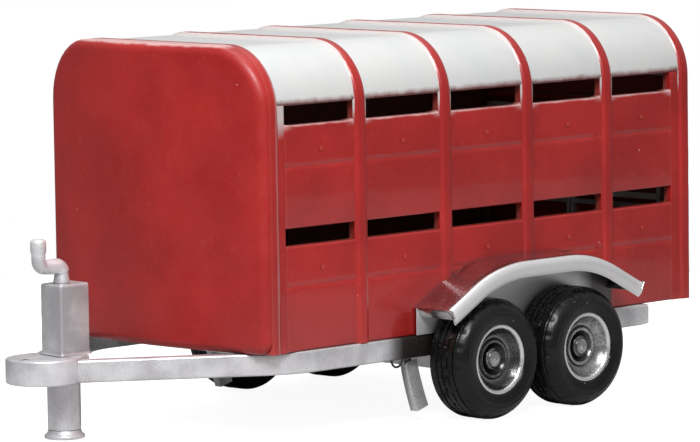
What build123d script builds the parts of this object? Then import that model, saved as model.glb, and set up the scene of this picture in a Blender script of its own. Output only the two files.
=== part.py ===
from build123d import *
from math import cos, radians, sin
import os

# Livestock trailer, in millimetres. X runs across the trailer (+X is its right-hand side), Y runs
# from the drawbar (-Y) to the loading ramp (+Y), and Z runs up from the ground.
# Pieces are drawn with y = 0 at the first hoop, then moved so that the origin lies on the ground
# under the middle of the trailer.

# ---- driving dimensions ----------------------------------------------------------------------

BAY = 650.0                  # distance from one hoop to the next
BAYS = 5
BODY_LENGTH = BAY * BAYS
BODY_BOTTOM = 482.0
FLOOR_TOP = 510.0
SILL_Y = (3172.0, 3240.0)    # the member that closes the floor in front of the ramp
ROOF_SHEET = 6.0
WALL_OUTER = 826.0           # half the body's width over the panels
WALL_INNER = 766.0
SKIN = 2.5                   # sheet of the double-skinned panels

HOOP_WIDTH = 65.0
HOOP_OUTER = 842.0           # half the body's width over the hoops
HOOP_TOP = 2105.0
HOOP_CORNER = 340.0
HOOP_SHEET = 4.0

LOWER_SLOT = (1042.0, 1136.0)    # bottom and top of each ventilation slot
UPPER_SLOT = (1680.0, 1785.0)
PANEL_LINES = (830.0, 1463.0)    # heights of the pressed lines along the panels
STUD_HEIGHTS = (917.0, 1548.0)
FRONT_POST = 60.0            # width of the posts beside the first and last hoops
REAR_POST = 75.0

CAP_EDGE_DEPTH = 42.0        # how far the front cap stands forward of the first hoop at its sides
CAP_BOW = 95.0               # how much further it stands forward at its middle
CAP_EDGE_RADIUS = 50.0
CAP_FOOT_RADIUS = 80.0       # the cap's lower corners, seen from the front
CAP_SHEET = 5.0

RAIL_WIDTH = 80.0
RAIL_BOTTOM = 363.0
RAIL_SHEET = 6.0
RAIL_END = 2927.0
CROSS_MEMBERS = (340.0, 950.0, 1640.0, 2300.0, 2880.0)
DRAWBAR_ANGLE = 34.5         # degrees between each drawbar arm and the trailer's middle line
DRAWBAR_REACH = 1230.0       # length of each arm, before it is cut round the nose plate
BEND_START = (758.0, 10.0)   # where the outside of the drawbar arm begins to bend

NOSE_CENTRE = -887.0
NOSE_RADIUS = 203.0
NOSE_Z = (360.0, 494.0)
EYE_CENTRE = -1015.0
EYE_BORE = 20.0              # a 40 mm drawbar eye
EYE_BUSH = 32.0

JACK_CENTRE = -753.0
JACK_LEG = 60.0
JACK_SLEEVE = 174.0          # across the flats of the eight-sided sleeve
JACK_FOOT_Z = (52.0, 97.0)
JACK_HOUSING = (165.0, 200.0)
HOUSING_SETBACK = 20.0       # how far the housing's middle stands behind the screw
JACK_TOP = 872.0
SCREW = 14.0
CRANK_RADIUS = 157.0
CRANK_ARM = 36.0             # the crank is as stout as the rest of the drawbar fittings
CRANK_GRIP = 42.0
CRANK_TOP = 1115.0

TYRE_RADIUS = 332.0
TYRE_WIDTH = 250.0
TYRE_SHOULDER = 42.0
RIM_RADIUS = 190.0
WHEEL_CENTRE = 982.0         # how far each wheel's middle stands from the trailer's middle line
DISC_OFFSET = 22.0           # how far the rim's disc stands outside the wheel's middle
AXLES = {"front": 1440.0, "rear": 2139.0}
ARM_LENGTH = 120.0
ARM_PIVOT_Z = 318.0
ARM_X = (852.0, 877.0)
ARM_SHAFT = 30.0
STUB_AXLE = 20.0
BEAM_SIZE = 90.0
BEAM_REACH = 847.0

GUARD_OUTER = 1107.0
GUARD_LINE = [(1043.0, 634.0), (1445.0, 858.0), (2210.0, 858.0), (2603.0, 655.0)]
GUARD_CORNER = 450.0
GUARD_SHEET = 8.0
GUARD_LIP = 95.0
GUARD_PLATE = 5.0            # the plate behind the wheels, down to the rail
GUARD_END_DEPTH = 60.0

RAMP_PIN = (3300.0, 474.0)   # y and z of the ramp's hinge line
RAMP_Y = (3244.0, 3280.0)
RAMP_BOTTOM = 492.0
RAMP_GAP = 5.0               # between the ramp and the rear hoop, all round
RAMP_RIBS = (760.0, 1040.0, 1320.0, 1600.0, 1860.0)
HINGE_SETS = (-380.0, 0.0, 380.0)
LUG_RADIUS = 16.0
LATCH_PIVOT = (700.0, 1250.0)    # x and z
LATCH_REACH = 92.0
LATCH_SHEET = 8.0
KEEPER_X = (776.0, 808.0)
KEEPER_BACK = 3306.0

GATE_PIVOT = (711.0, 3200.0)     # x and y of the right-hand gate's hinge line
GATE_Z = (560.0, 1460.0)
GATE_TUBE = 25.0
GATE_HINGES = (640.0, 1300.0)

PROP_X = 777.0
PROP_PIVOT = (1003.0, 330.0)     # y and z
PROP_TILT = 17.0                 # degrees that the stand leans back when it is down

SHUTTER_X = (759.0, 764.0)
SHUTTER_TRAVEL = 115.0
SHUTTER_HEIGHT = 265.0
SHUTTER_Y = (40.0, 3184.0)

RUNNING_GAP = 0.05           # radial clearance of every shaft that turns or slides in a hole

NOSE_FRONT = NOSE_CENTRE - NOSE_RADIUS
REAR_END = RAMP_PIN[0] + LUG_RADIUS
MIDDLE_Y = (NOSE_FRONT + REAR_END) / 2
HOOP_LINES = [BAY * i for i in range(BAYS + 1)]
SIDES = {"right": 1, "left": -1}

# ---- small building blocks -------------------------------------------------------------------


def block(x, y, z):
    """A box between two x, two y and two z values."""
    centre = Pos(sum(x) / 2, sum(y) / 2, sum(z) / 2)
    return centre * Box(x[1] - x[0], y[1] - y[0], z[1] - z[0])


def rod_x(radius, x, y, z):
    """A round bar along X between two x values."""
    return Pos(sum(x) / 2, y, z) * Rot(0, 90, 0) * Cylinder(radius, x[1] - x[0])


def rod_y(radius, x, y, z):
    """A round bar along Y between two y values."""
    return Pos(x, sum(y) / 2, z) * Rot(90, 0, 0) * Cylinder(radius, y[1] - y[0])


def rod_z(radius, x, y, z):
    """A round bar along Z between two z values."""
    return Pos(x, y, sum(z) / 2) * Cylinder(radius, z[1] - z[0])


def across(face, y):
    """Extrude a face drawn in X and Z between two y values."""
    return extrude(Plane.XZ.offset(-y[1]) * face, y[1] - y[0])


def along(face, x):
    """Extrude a face drawn in Y and Z between two x values."""
    return extrude(Plane.YZ.offset(x[0]) * face, x[1] - x[0])


def upright(face, z):
    """Extrude a face drawn in X and Y between two heights."""
    return extrude(Plane.XY.offset(z[0]) * face, z[1] - z[0])


def turned(points, y, z):
    """A solid turned about a line along X, from (x, radius) points."""
    profile = make_face(Polyline(*points, close=True))
    return Pos(0, y, z) * revolve(profile, Axis.X)


def group(solids):
    """Several separate solids that share one node."""
    return Compound([s for item in solids for s in item.solids()])


def on_side(solid, side):
    """The right-hand piece as drawn, or its mirror image for the left-hand side."""
    return solid if side > 0 else mirror(solid, Plane.YZ)


def bay_spans():
    """The two y values of each bay, between the hoops."""
    half = HOOP_WIDTH / 2
    return [(a + half, b - half) for a, b in zip(HOOP_LINES, HOOP_LINES[1:])]


def panel_spans():
    """The two y values of each side panel: a bay less the posts at the body's two ends."""
    spans = bay_spans()
    spans[0] = (spans[0][0] + FRONT_POST, spans[0][1])
    spans[-1] = (spans[-1][0], spans[-1][1] - REAR_POST)
    return spans


# ---- chassis ---------------------------------------------------------------------------------


def rail_face(outer_inset, inner_inset, overrun):
    """A rail seen from above: drawbar arm, bend and side rail, cut down from the full width."""
    slope = radians(DRAWBAR_ANGLE)
    forward = Vector(-sin(slope), -cos(slope))
    inward = Vector(-cos(slope), sin(slope))
    arm_length = DRAWBAR_REACH + overrun
    bend_radius = (HOOP_OUTER - BEND_START[0]) / (1 - cos(slope))
    bend_end = BEND_START[1] + bend_radius * sin(slope)
    bend_centre = Vector(HOOP_OUTER - bend_radius, bend_end)
    edges = []
    for inset in (outer_inset, inner_inset):
        radius = bend_radius - inset
        start = bend_centre - inward * radius
        nose = start + forward * arm_length
        middle = bend_centre + Vector(cos(slope / 2), -sin(slope / 2)) * radius
        end = bend_centre + Vector(radius, 0)
        tail = Vector(end.X, RAIL_END + overrun)
        edges.append((nose, start, middle, end, tail))
    outer, inner = edges
    return make_face([
        Line(outer[0], outer[1]),
        ThreePointArc(outer[1], outer[2], outer[3]),
        Line(outer[3], outer[4]),
        Line(outer[4], inner[4]),
        Line(inner[4], inner[3]),
        ThreePointArc(inner[3], inner[2], inner[1]),
        Line(inner[1], inner[0]),
        Line(inner[0], outer[0]),
    ])


def frame_rail(side):
    """One bent box-section member: drawbar arm and side rail in a single length."""
    rail = upright(rail_face(0, RAIL_WIDTH, 0), (RAIL_BOTTOM, BODY_BOTTOM))
    rail -= upright(
        rail_face(RAIL_SHEET, RAIL_WIDTH - RAIL_SHEET, 20),
        (RAIL_BOTTOM + RAIL_SHEET, BODY_BOTTOM - RAIL_SHEET),
    )
    rail -= rod_z(NOSE_RADIUS, 0, NOSE_CENTRE, (0, BODY_BOTTOM + 1))
    rail = rail.solids().sort_by(SortBy.VOLUME)[-1]
    return on_side(rail, side)


def cross_members():
    """Box-section members between the side rails, under the floor."""
    reach = HOOP_OUTER - RAIL_WIDTH
    members = []
    for y in CROSS_MEMBERS:
        tube = block((-reach, reach), (y - 30, y + 30), (BODY_BOTTOM - 80, BODY_BOTTOM))
        tube -= block((-reach, reach), (y - 26, y + 26), (BODY_BOTTOM - 76, BODY_BOTTOM - 4))
        members.append(tube)
    return group(members)


def nose_plate():
    """A thick round casting that joins the drawbar arms, ribbed and hollow underneath."""
    bottom, top = NOSE_Z
    plate = rod_z(NOSE_RADIUS, 0, NOSE_CENTRE, NOSE_Z)
    plate -= rod_z(NOSE_RADIUS - 20, 0, NOSE_CENTRE, (bottom, top - 30))
    plate += rod_z(EYE_BUSH + 20, 0, EYE_CENTRE, NOSE_Z)
    plate += rod_z(100, 0, JACK_CENTRE, NOSE_Z)
    plate += block((-88, 88), (JACK_CENTRE + 40, JACK_CENTRE + 95), NOSE_Z)
    plate += block((-9, 9), (EYE_CENTRE, JACK_CENTRE), NOSE_Z)
    plate -= rod_z(EYE_BUSH, 0, EYE_CENTRE, NOSE_Z)
    plate -= rod_z(JACK_LEG + RUNNING_GAP, 0, JACK_CENTRE, NOSE_Z)
    return plate


def towing_eye_bush():
    """A plain bush that lines the towing eye."""
    bush = rod_z(EYE_BUSH, 0, EYE_CENTRE, NOSE_Z)
    return bush - rod_z(EYE_BORE, 0, EYE_CENTRE, NOSE_Z)


def floor_boards():
    """Six boards laid lengthways, with a small gap between neighbours."""
    pitch = 2 * (WALL_INNER - 2) / 6
    boards = []
    for i in range(6):
        low = -(WALL_INNER - 2) + i * pitch
        boards.append(block((low, low + pitch - 2), (0, SILL_Y[0] - 2), (BODY_BOTTOM, FLOOR_TOP)))
    return group(boards)


# ---- drawbar jack ----------------------------------------------------------------------------


def jack_sleeve():
    """The fixed eight-sided sleeve under the nose plate, in which the leg slides."""
    corner_radius = JACK_SLEEVE / 2 / cos(radians(22.5))
    octagon = Rot(0, 0, 22.5) * RegularPolygon(corner_radius, 8)
    sleeve = upright(Pos(0, JACK_CENTRE) * octagon, (JACK_FOOT_Z[1] + 1, NOSE_Z[0]))
    return sleeve - rod_z(JACK_LEG + RUNNING_GAP, 0, JACK_CENTRE, (0, NOSE_Z[0]))


def jack_housing():
    """The square housing above the nose plate, closed at the top round the screw."""
    width, depth = JACK_HOUSING
    middle = JACK_CENTRE + HOUSING_SETBACK
    y = (middle - depth / 2, middle + depth / 2)
    housing = block((-width / 2, width / 2), y, (NOSE_Z[1], JACK_TOP))
    housing -= block(
        (8 - width / 2, width / 2 - 8), (y[0] + 8, y[1] - 8), (NOSE_Z[1], JACK_TOP - 14)
    )
    return housing - rod_z(SCREW + RUNNING_GAP, 0, JACK_CENTRE, (JACK_TOP - 20, JACK_TOP))


def jack_leg():
    """The round sliding leg."""
    leg = rod_z(JACK_LEG, 0, JACK_CENTRE, (JACK_FOOT_Z[1], 700))
    return leg - rod_z(40, 0, JACK_CENTRE, (JACK_FOOT_Z[1], 700))


def jack_nut():
    """The nut in the top of the leg."""
    nut = rod_z(40, 0, JACK_CENTRE, (650, 700))
    return nut - rod_z(SCREW + RUNNING_GAP, 0, JACK_CENTRE, (650, 700))


def jack_foot():
    """The flared round foot."""
    low, high = JACK_FOOT_Z
    foot = rod_z(107, 0, JACK_CENTRE, (low, low + 18))
    return foot + Pos(0, JACK_CENTRE, low + 18) * Cone(107, 89, high - low - 18, align=(
        Align.CENTER, Align.CENTER, Align.MIN))


def jack_screw():
    """The screw that the crank turns, with a thrust collar under the housing's top."""
    screw = rod_z(SCREW, 0, JACK_CENTRE, (420, 915))
    return screw + rod_z(30, 0, JACK_CENTRE, (JACK_TOP - 30, JACK_TOP - 15))


def jack_crank():
    """The cranked arm on the screw's top, rising to a spindle for the grip."""
    boss = rod_z(CRANK_ARM + 6, 0, JACK_CENTRE, (JACK_TOP + 2, 925))
    grip_y = JACK_CENTRE - CRANK_RADIUS
    path = FilletPolyline(
        (0, JACK_CENTRE, 915),
        (0, JACK_CENTRE, 955),
        (0, grip_y, 965),
        (0, grip_y, 1040),
        radius=37,
    )
    arm = sweep(Pos(0, JACK_CENTRE, 915) * Circle(CRANK_ARM), path=path)
    crank = boss + arm + rod_z(12, 0, grip_y, (1030, CRANK_TOP - 6))
    return crank - rod_z(SCREW, 0, JACK_CENTRE, (JACK_TOP, 915))


def crank_grip():
    """The upright hand grip."""
    grip_y = JACK_CENTRE - CRANK_RADIUS
    grip = rod_z(CRANK_GRIP, 0, grip_y, (1040, CRANK_TOP))
    grip = fillet(grip.edges().sort_by(Axis.Z)[-1], 14)
    return grip - rod_z(12, 0, grip_y, (1030, CRANK_TOP - 6))


# ---- axles and wheels ------------------------------------------------------------------------


def axle_beams():
    """Two square beams under the rails, bored to take the arms' pivot shafts."""
    beams = []
    for y in AXLES.values():
        pivot_y = y - ARM_LENGTH
        half = BEAM_SIZE / 2
        span = (-BEAM_REACH, BEAM_REACH)
        beam = block(span, (pivot_y - half, pivot_y + half), (RAIL_BOTTOM - BEAM_SIZE, RAIL_BOTTOM))
        beams.append(beam - rod_x(ARM_SHAFT + RUNNING_GAP, span, pivot_y, ARM_PIVOT_Z))
    return group(beams)


def suspension_arm(axle_y, side):
    """A trailing arm: pivot shaft, arm plate and stub axle."""
    pivot_y = axle_y - ARM_LENGTH
    disc = WHEEL_CENTRE + DISC_OFFSET
    arm = rod_x(42, ARM_X, pivot_y, ARM_PIVOT_Z)
    arm += rod_x(40, ARM_X, axle_y, TYRE_RADIUS)
    web = Polyline(
        (pivot_y, ARM_PIVOT_Z + 40), (axle_y, TYRE_RADIUS + 38),
        (axle_y, TYRE_RADIUS - 38), (pivot_y, ARM_PIVOT_Z - 40), close=True,
    )
    arm += along(make_face(web), ARM_X)
    arm += rod_x(ARM_SHAFT, (600, ARM_X[0]), pivot_y, ARM_PIVOT_Z)
    arm += rod_x(34, (ARM_X[1], disc - 73), axle_y, TYRE_RADIUS)
    arm += rod_x(STUB_AXLE, (ARM_X[1], disc + 17), axle_y, TYRE_RADIUS)
    return on_side(arm, side)


def tyre(axle_y, side):
    """A tyre with rounded shoulders and four grooves round its tread."""
    height = TYRE_RADIUS - RIM_RADIUS
    section = Pos(WHEEL_CENTRE, RIM_RADIUS + height / 2) * RectangleRounded(
        TYRE_WIDTH, height, TYRE_SHOULDER)
    for offset in (-66, -22, 22, 66):
        section -= Pos(WHEEL_CENTRE + offset, TYRE_RADIUS) * Rectangle(8, 18)
    return on_side(Pos(0, axle_y, TYRE_RADIUS) * revolve(section, Axis.X), side)


def rim(axle_y, side):
    """A dished steel rim with a rolled lip and a raised ring round its middle."""
    lip = TYRE_WIDTH / 2 - 18
    disc = DISC_OFFSET
    profile = [
        (lip, RIM_RADIUS), (lip, 178), (lip - 9, 172), (disc + 26, 118), (disc + 38, 106),
        (disc + 38, 90), (disc + 22, 82), (disc + 16, 62), (disc + 8, 62), (disc + 8, 98),
        (disc + 14, 120), (lip - 29, 169), (10 - lip, 169), (4 - lip, 178), (4 - lip, RIM_RADIUS),
    ]
    points = [(WHEEL_CENTRE + x, radius) for x, radius in profile]
    return on_side(turned(points, axle_y, TYRE_RADIUS), side)


def hub(axle_y, side):
    """A hub with a mounting flange behind the rim and a domed cap in front."""
    bore = STUB_AXLE + RUNNING_GAP
    profile = [
        (-72, bore), (-72, 60), (-6, 60), (-6, 96), (8, 96), (8, 61.5), (34, 61.5),
        (46, 50), (54, 30), (57, 0), (18, 0), (18, bore),
    ]
    points = [(WHEEL_CENTRE + DISC_OFFSET + x, radius) for x, radius in profile]
    return on_side(turned(points, axle_y, TYRE_RADIUS), side)


# ---- body ------------------------------------------------------------------------------------


def arch_face(inset, bottom, foot_radius=0):
    """The hoops' outline, drawn in X and Z and cut down by an inset all round its top and sides."""
    half_width = HOOP_OUTER - inset
    top = HOOP_TOP - inset
    face = Pos(0, (bottom + top) / 2) * Rectangle(2 * half_width, top - bottom)
    face = fillet(face.vertices().group_by(Axis.Y)[-1], HOOP_CORNER - inset)
    if foot_radius:
        face = fillet(face.vertices().group_by(Axis.Y)[0], foot_radius)
    return face


def body_hoops():
    """Six arches of box section, open at their feet."""
    depth = HOOP_OUTER - WALL_INNER
    half = HOOP_WIDTH / 2
    low = BODY_BOTTOM - 10
    hoops = []
    for line in HOOP_LINES:
        hoop = across(arch_face(0, BODY_BOTTOM), (line - half, line + half))
        hoop -= across(arch_face(depth, low), (line - half, line + half))
        hollow = arch_face(HOOP_SHEET, low) - arch_face(depth - HOOP_SHEET, low)
        hoop -= across(hollow, (line - half + HOOP_SHEET, line + half - HOOP_SHEET))
        hoops.append(hoop)
    return group(hoops)


def cap_body(inset):
    """The front cap as one full body, or its inside when inset by the sheet thickness."""
    back = -HOOP_WIDTH / 2
    deep = CAP_EDGE_DEPTH + CAP_BOW
    bow_radius = (HOOP_OUTER ** 2 + CAP_BOW ** 2) / (2 * CAP_BOW)
    outline = arch_face(inset, BODY_BOTTOM + inset, CAP_FOOT_RADIUS - inset)
    body = across(outline, (back - deep - 50, back))
    body &= rod_z(bow_radius - inset, 0, back - deep + bow_radius, (0, 2 * HOOP_TOP))
    edges = body.faces().sort_by(Axis.Y)[0].edges()
    return fillet(edges, CAP_EDGE_RADIUS - inset)


def front_cap():
    """The smooth bowed front of the body, open at the back."""
    return cap_body(0) - cap_body(CAP_SHEET)


def side_panels(side, z, line, stud_z):
    """Five double-skinned panels, one in each bay, with a pressed line and a hole for the stud."""
    panels = []
    for y in panel_spans():
        panel = block((WALL_INNER, WALL_OUTER), y, z)
        middle = sum(z) / 2
        for low, high in ((z[0], middle - SKIN), (middle, z[1] - SKIN)):
            panel -= block((WALL_INNER + SKIN, WALL_OUTER - SKIN), y, (low + SKIN, high))
        panel -= block((WALL_OUTER - SKIN / 2, WALL_OUTER), y, (line - 3, line + 3))
        panel -= rod_x(6, (WALL_INNER, WALL_OUTER), sum(y) / 2, stud_z)
        panels.append(on_side(panel, side))
    return group(panels)


def corner_posts():
    """Box-section posts beside the first and last hoops, where the slots stop."""
    bays = bay_spans()
    front = (bays[0][0], bays[0][0] + FRONT_POST)
    rear = (bays[-1][1] - REAR_POST, bays[-1][1])
    posts = []
    for y in (front, rear):
        post = block((WALL_INNER, WALL_OUTER), y, (BODY_BOTTOM, UPPER_SLOT[1]))
        hollow = block(
            (WALL_INNER + SKIN, WALL_OUTER - SKIN), (y[0] + SKIN, y[1] - SKIN),
            (BODY_BOTTOM, UPPER_SLOT[1] - SKIN),
        )
        posts += [on_side(post - hollow, side) for side in SIDES.values()]
    return group(posts)


def roof_panels():
    """Five sheets between the hoops, curved over both shoulders."""
    inset = HOOP_OUTER - WALL_OUTER
    panels = []
    for y in bay_spans():
        panel = across(arch_face(inset, 0), y) - across(arch_face(inset + ROOF_SHEET, 0), y)
        panels.append(panel - block((-HOOP_OUTER, HOOP_OUTER), y, (0, UPPER_SLOT[1])))
    return group(panels)


def panel_studs():
    """Studs with domed heads, which hold and guide the shutters inside the walls."""
    studs = []
    inner = SHUTTER_X[0]
    for side in SIDES.values():
        for y in panel_spans():
            for z in STUD_HEIGHTS:
                middle = sum(y) / 2
                stud = rod_x(6, (inner - 7, WALL_OUTER + 2), middle, z)
                stud += rod_x(12, (inner - 7, inner - 2), middle, z)
                stud += rod_x(13, (WALL_OUTER, WALL_OUTER + 5), middle, z)
                studs.append(on_side(stud, side))
    return group(studs)


def vent_shutter(side):
    """Two slotted strips joined by ties behind the hoops, so that both slots close together."""
    shutter = None
    for slot, stud_z in zip((LOWER_SLOT, UPPER_SLOT), STUD_HEIGHTS):
        top = slot[0] - 5
        strip = block(SHUTTER_X, SHUTTER_Y, (top - SHUTTER_HEIGHT, top))
        for y in panel_spans():
            width = (sum(y) / 2 - 6 - RUNNING_GAP, sum(y) / 2 + 6 + RUNNING_GAP)
            low = stud_z - SHUTTER_TRAVEL
            strip -= block(SHUTTER_X, width, (low, stud_z))
            strip -= rod_x(6 + RUNNING_GAP, SHUTTER_X, sum(y) / 2, low)
            strip -= rod_x(6 + RUNNING_GAP, SHUTTER_X, sum(y) / 2, stud_z)
        shutter = strip if shutter is None else shutter + strip
    for line in HOOP_LINES[1:-1]:
        shutter += block(SHUTTER_X, (line - 20, line + 20), (LOWER_SLOT[0] - 10, UPPER_SLOT[0] - 200))
    fold = UPPER_SLOT[0] - 5 - SHUTTER_HEIGHT
    shutter += block((SHUTTER_X[0] - 23, SHUTTER_X[0]), (1500, 1750), (fold, fold + 5))
    return on_side(shutter, side)


# ---- mudguards -------------------------------------------------------------------------------


def offset_line(points, distance):
    """The points of a bent line moved sideways by a distance, keeping its bends sharp."""
    corners = [Vector(*p) for p in points]
    normals = []
    for a, b in zip(corners, corners[1:]):
        run = (b - a).normalized()
        normals.append(Vector(run.Y, -run.X))
    moved = [corners[0] + normals[0] * distance]
    for corner, first, second in zip(corners[1:], normals, normals[1:]):
        moved.append(corner + (first + second) * (distance / (1 + first.dot(second))))
    return moved + [corners[-1] + normals[-1] * distance]


def guard_band(depth, x):
    """A band of the given depth under the mudguard's outer line, between two x values."""
    outer = FilletPolyline(*GUARD_LINE, radius=GUARD_CORNER)
    inner = FilletPolyline(*offset_line(GUARD_LINE, depth), radius=GUARD_CORNER - depth)
    face = make_face([outer, Line(outer @ 1, inner @ 1), inner, Line(inner @ 0, outer @ 0)])
    return along(face, x)


def guard_plate():
    """The flat plate behind the wheels, from the guard's top sheet down to the rail."""
    foot = BODY_BOTTOM + 2
    outer = FilletPolyline(*GUARD_LINE, radius=GUARD_CORNER)
    front, back = (GUARD_LINE[0][0], foot), (GUARD_LINE[-1][0], foot)
    face = make_face([outer, Line(outer @ 1, back), Line(back, front), Line(front, outer @ 0)])
    return along(face, (HOOP_OUTER, HOOP_OUTER + GUARD_PLATE))


def mudguard(side):
    """One long guard over both wheels: top sheet, outer lip, back plate and closed ends."""
    guard = guard_band(GUARD_SHEET, (WALL_OUTER, GUARD_OUTER))
    guard += guard_band(GUARD_LIP, (GUARD_OUTER - GUARD_SHEET, GUARD_OUTER))
    guard += guard_plate()
    inner = offset_line(GUARD_LINE, GUARD_END_DEPTH)
    for outer_end, inner_end, sign in ((GUARD_LINE[0], inner[0], 1), (GUARD_LINE[-1], inner[-1], -1)):
        end = [outer_end, (inner_end.X, inner_end.Y)]
        end += [(y + sign * 7, z + 4) for y, z in reversed(end)]
        guard += along(make_face(Polyline(*end, close=True)), (HOOP_OUTER, GUARD_OUTER))
    for line in HOOP_LINES:
        y = (line - HOOP_WIDTH / 2, line + HOOP_WIDTH / 2)
        guard -= block((WALL_OUTER - 1, HOOP_OUTER), y, (0, HOOP_TOP))
    return on_side(guard, side)


# ---- rear end --------------------------------------------------------------------------------


def rear_sill():
    """The member that ends the floor, with a beam below it that carries the ramp's hinge lugs."""
    pin_y, pin_z = RAMP_PIN
    reach = HINGE_SETS[-1] + 74
    sill = block((-WALL_INNER, WALL_INNER), SILL_Y, (BODY_BOTTOM, FLOOR_TOP))
    beam = block((-reach, reach), SILL_Y, (BODY_BOTTOM - 52, BODY_BOTTOM))
    beam -= block((-reach, reach), (SILL_Y[0] + 4, SILL_Y[1] - 4), (BODY_BOTTOM - 48, BODY_BOTTOM - 4))
    sill += beam
    for centre in HINGE_SETS:
        for x in ((centre - 74, centre - 62), (centre + 62, centre + 74)):
            lug = block(x, (SILL_Y[1] - 2, pin_y), (pin_z - LUG_RADIUS, pin_z + LUG_RADIUS))
            lug += rod_x(LUG_RADIUS, x, pin_y, pin_z)
            sill += lug - rod_x(10, x, pin_y, pin_z)
    return sill


def ramp_pins():
    """A headed pin through each pair of lugs."""
    pins = []
    for centre in HINGE_SETS:
        pin = rod_x(10, (centre - 80, centre + 80), *RAMP_PIN)
        pin += rod_x(14, (centre - 80, centre - 75), *RAMP_PIN)
        pins.append(pin + rod_x(14, (centre + 75, centre + 80), *RAMP_PIN))
    return group(pins)


def ramp_outline(inset):
    """The ramp's outline in X and Z, with rounded top corners, which fills the rear hoop."""
    edge = HOOP_OUTER - WALL_INNER + RAMP_GAP + inset
    low, high = RAMP_BOTTOM + inset, HOOP_TOP - edge
    face = Pos(0, (low + high) / 2) * Rectangle(2 * (HOOP_OUTER - edge), high - low)
    return fillet(face.vertices().group_by(Axis.Y)[-1], HOOP_CORNER - edge)


def ramp_door():
    """The ramp: a framed and ribbed sheet with hinge knuckles and the latches' pivots."""
    pin_y, pin_z = RAMP_PIN
    back = RAMP_Y[1]
    inside = (RAMP_Y[0], back - 3)
    door = across(ramp_outline(0), RAMP_Y) - across(ramp_outline(40), inside)
    for z in RAMP_RIBS:
        rib = block((-WALL_INNER, WALL_INNER), inside, (z - 12, z + 12))
        door += rib & across(ramp_outline(20), RAMP_Y)
    for centre in HINGE_SETS:
        x = (centre - 61, centre + 61)
        knuckle = rod_x(LUG_RADIUS, x, pin_y, pin_z) + block(x, (back, pin_y), (pin_z, pin_z + 56))
        door += knuckle - rod_x(10 + RUNNING_GAP, x, pin_y, pin_z)
    for side in SIDES.values():
        x, z = LATCH_PIVOT
        door += rod_y(18, side * x, (back, back + 6), z)
        door += rod_y(10, side * x, (back, back + 20), z)
        door += rod_y(16, side * x, (back + 16, back + 20), z)
    return door


def ramp_treads():
    """Battens across the inside of the ramp, for grip."""
    treads = []
    for i in range(6):
        z = 560 + 240 * i
        treads.append(block((-700, 700), (RAMP_Y[0] - 22, RAMP_Y[0]), (z, z + 34)))
    return group(treads)


def ramp_latch(side):
    """A flat bar that turns on the ramp: its tongue goes into the keeper on the rear hoop."""
    x, z = LATCH_PIVOT
    y = (RAMP_Y[1] + 6.5, RAMP_Y[1] + 6.5 + LATCH_SHEET)
    latch = rod_y(22, x, y, z)
    latch += block((x - 12, x + 12), y, (z - LATCH_REACH, z))
    latch += block((x - 10, x + 10), y, (z, z + 130))
    latch -= rod_y(10 + RUNNING_GAP, x, y, z)
    return on_side(latch, side)


def latch_keepers():
    """A hooked keeper for each latch, open underneath, on the back of the rear hoop."""
    back = BODY_LENGTH + HOOP_WIDTH / 2
    z = LATCH_PIVOT[1]
    keepers = []
    for side in SIDES.values():
        keeper = block(KEEPER_X, (back, KEEPER_BACK), (z + 25, z + 37))
        keeper += block(KEEPER_X, (KEEPER_BACK - 8, KEEPER_BACK), (z - 25, z + 37))
        keepers.append(on_side(keeper, side))
    return group(keepers)


def rear_lamps():
    """Two upright lamp units on the back of the rear hoop."""
    back = BODY_LENGTH + HOOP_WIDTH / 2
    lamp = block((774, 824), (back, back + 12), (560, 760))
    return group([lamp, mirror(lamp, Plane.YZ)])


def number_plate():
    """A blank number plate on the ramp."""
    return block((-260, 260), (RAMP_Y[1], RAMP_Y[1] + 3), (620, 731))


def gate(side):
    """An inner gate of square tube, hinged to the rear post."""
    pivot_x, pivot_y = GATE_PIVOT
    half = GATE_TUBE / 2
    y = (pivot_y - half, pivot_y + half)
    low, high = GATE_Z
    hinge_side, meeting_side = pivot_x - 15, 5
    frame = block((hinge_side - GATE_TUBE, hinge_side), y, GATE_Z)
    frame += block((meeting_side, meeting_side + GATE_TUBE), y, GATE_Z)
    for z in (low, low + 210, low + 430, low + 650, high - GATE_TUBE):
        frame += block((meeting_side, hinge_side), y, (z, z + GATE_TUBE))
    for low_end in GATE_HINGES:
        z = (low_end, low_end + 80)
        knuckle = rod_z(14, pivot_x, pivot_y, z)
        knuckle += block((hinge_side - 5, pivot_x), (pivot_y - 8, pivot_y + 8), z)
        frame += knuckle - rod_z(8 + RUNNING_GAP, pivot_x, pivot_y, z)
    return on_side(frame, side)


def gate_brackets():
    """Four brackets on the rear posts, each with an upright pin for a gate to hang on."""
    pivot_x, pivot_y = GATE_PIVOT
    brackets = []
    for side in SIDES.values():
        for z in GATE_HINGES:
            bracket = block((pivot_x, WALL_INNER), (pivot_y - 10, pivot_y + 10), (z - 14, z - 1))
            bracket += rod_z(10, pivot_x, pivot_y, (z - 14, z - 1))
            bracket += rod_z(8, pivot_x, pivot_y, (z - 14, z + 60))
            brackets.append(on_side(bracket, side))
    return group(brackets)


# ---- prop stands and cable -------------------------------------------------------------------


def prop_stand(side):
    """A channel-section stand that hangs from the rail and folds forward."""
    pivot = Pos(PROP_X, *PROP_PIVOT)
    stand = block((-27, 27), (-15, 80), (-275, -10)) - block((-22, 22), (-9, 80), (-275, -10))
    stand -= block((-22, 22), (-15, 80), (-40, -10))
    for x in ((-27, -22), (22, 27)):
        stand += rod_x(15, x, 0, 0) + block(x, (-15, 15), (-12, 0))
        stand -= rod_x(8 + RUNNING_GAP, x, 0, 0)
    return on_side(pivot * Rot(PROP_TILT, 0, 0) * stand, side)


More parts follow.
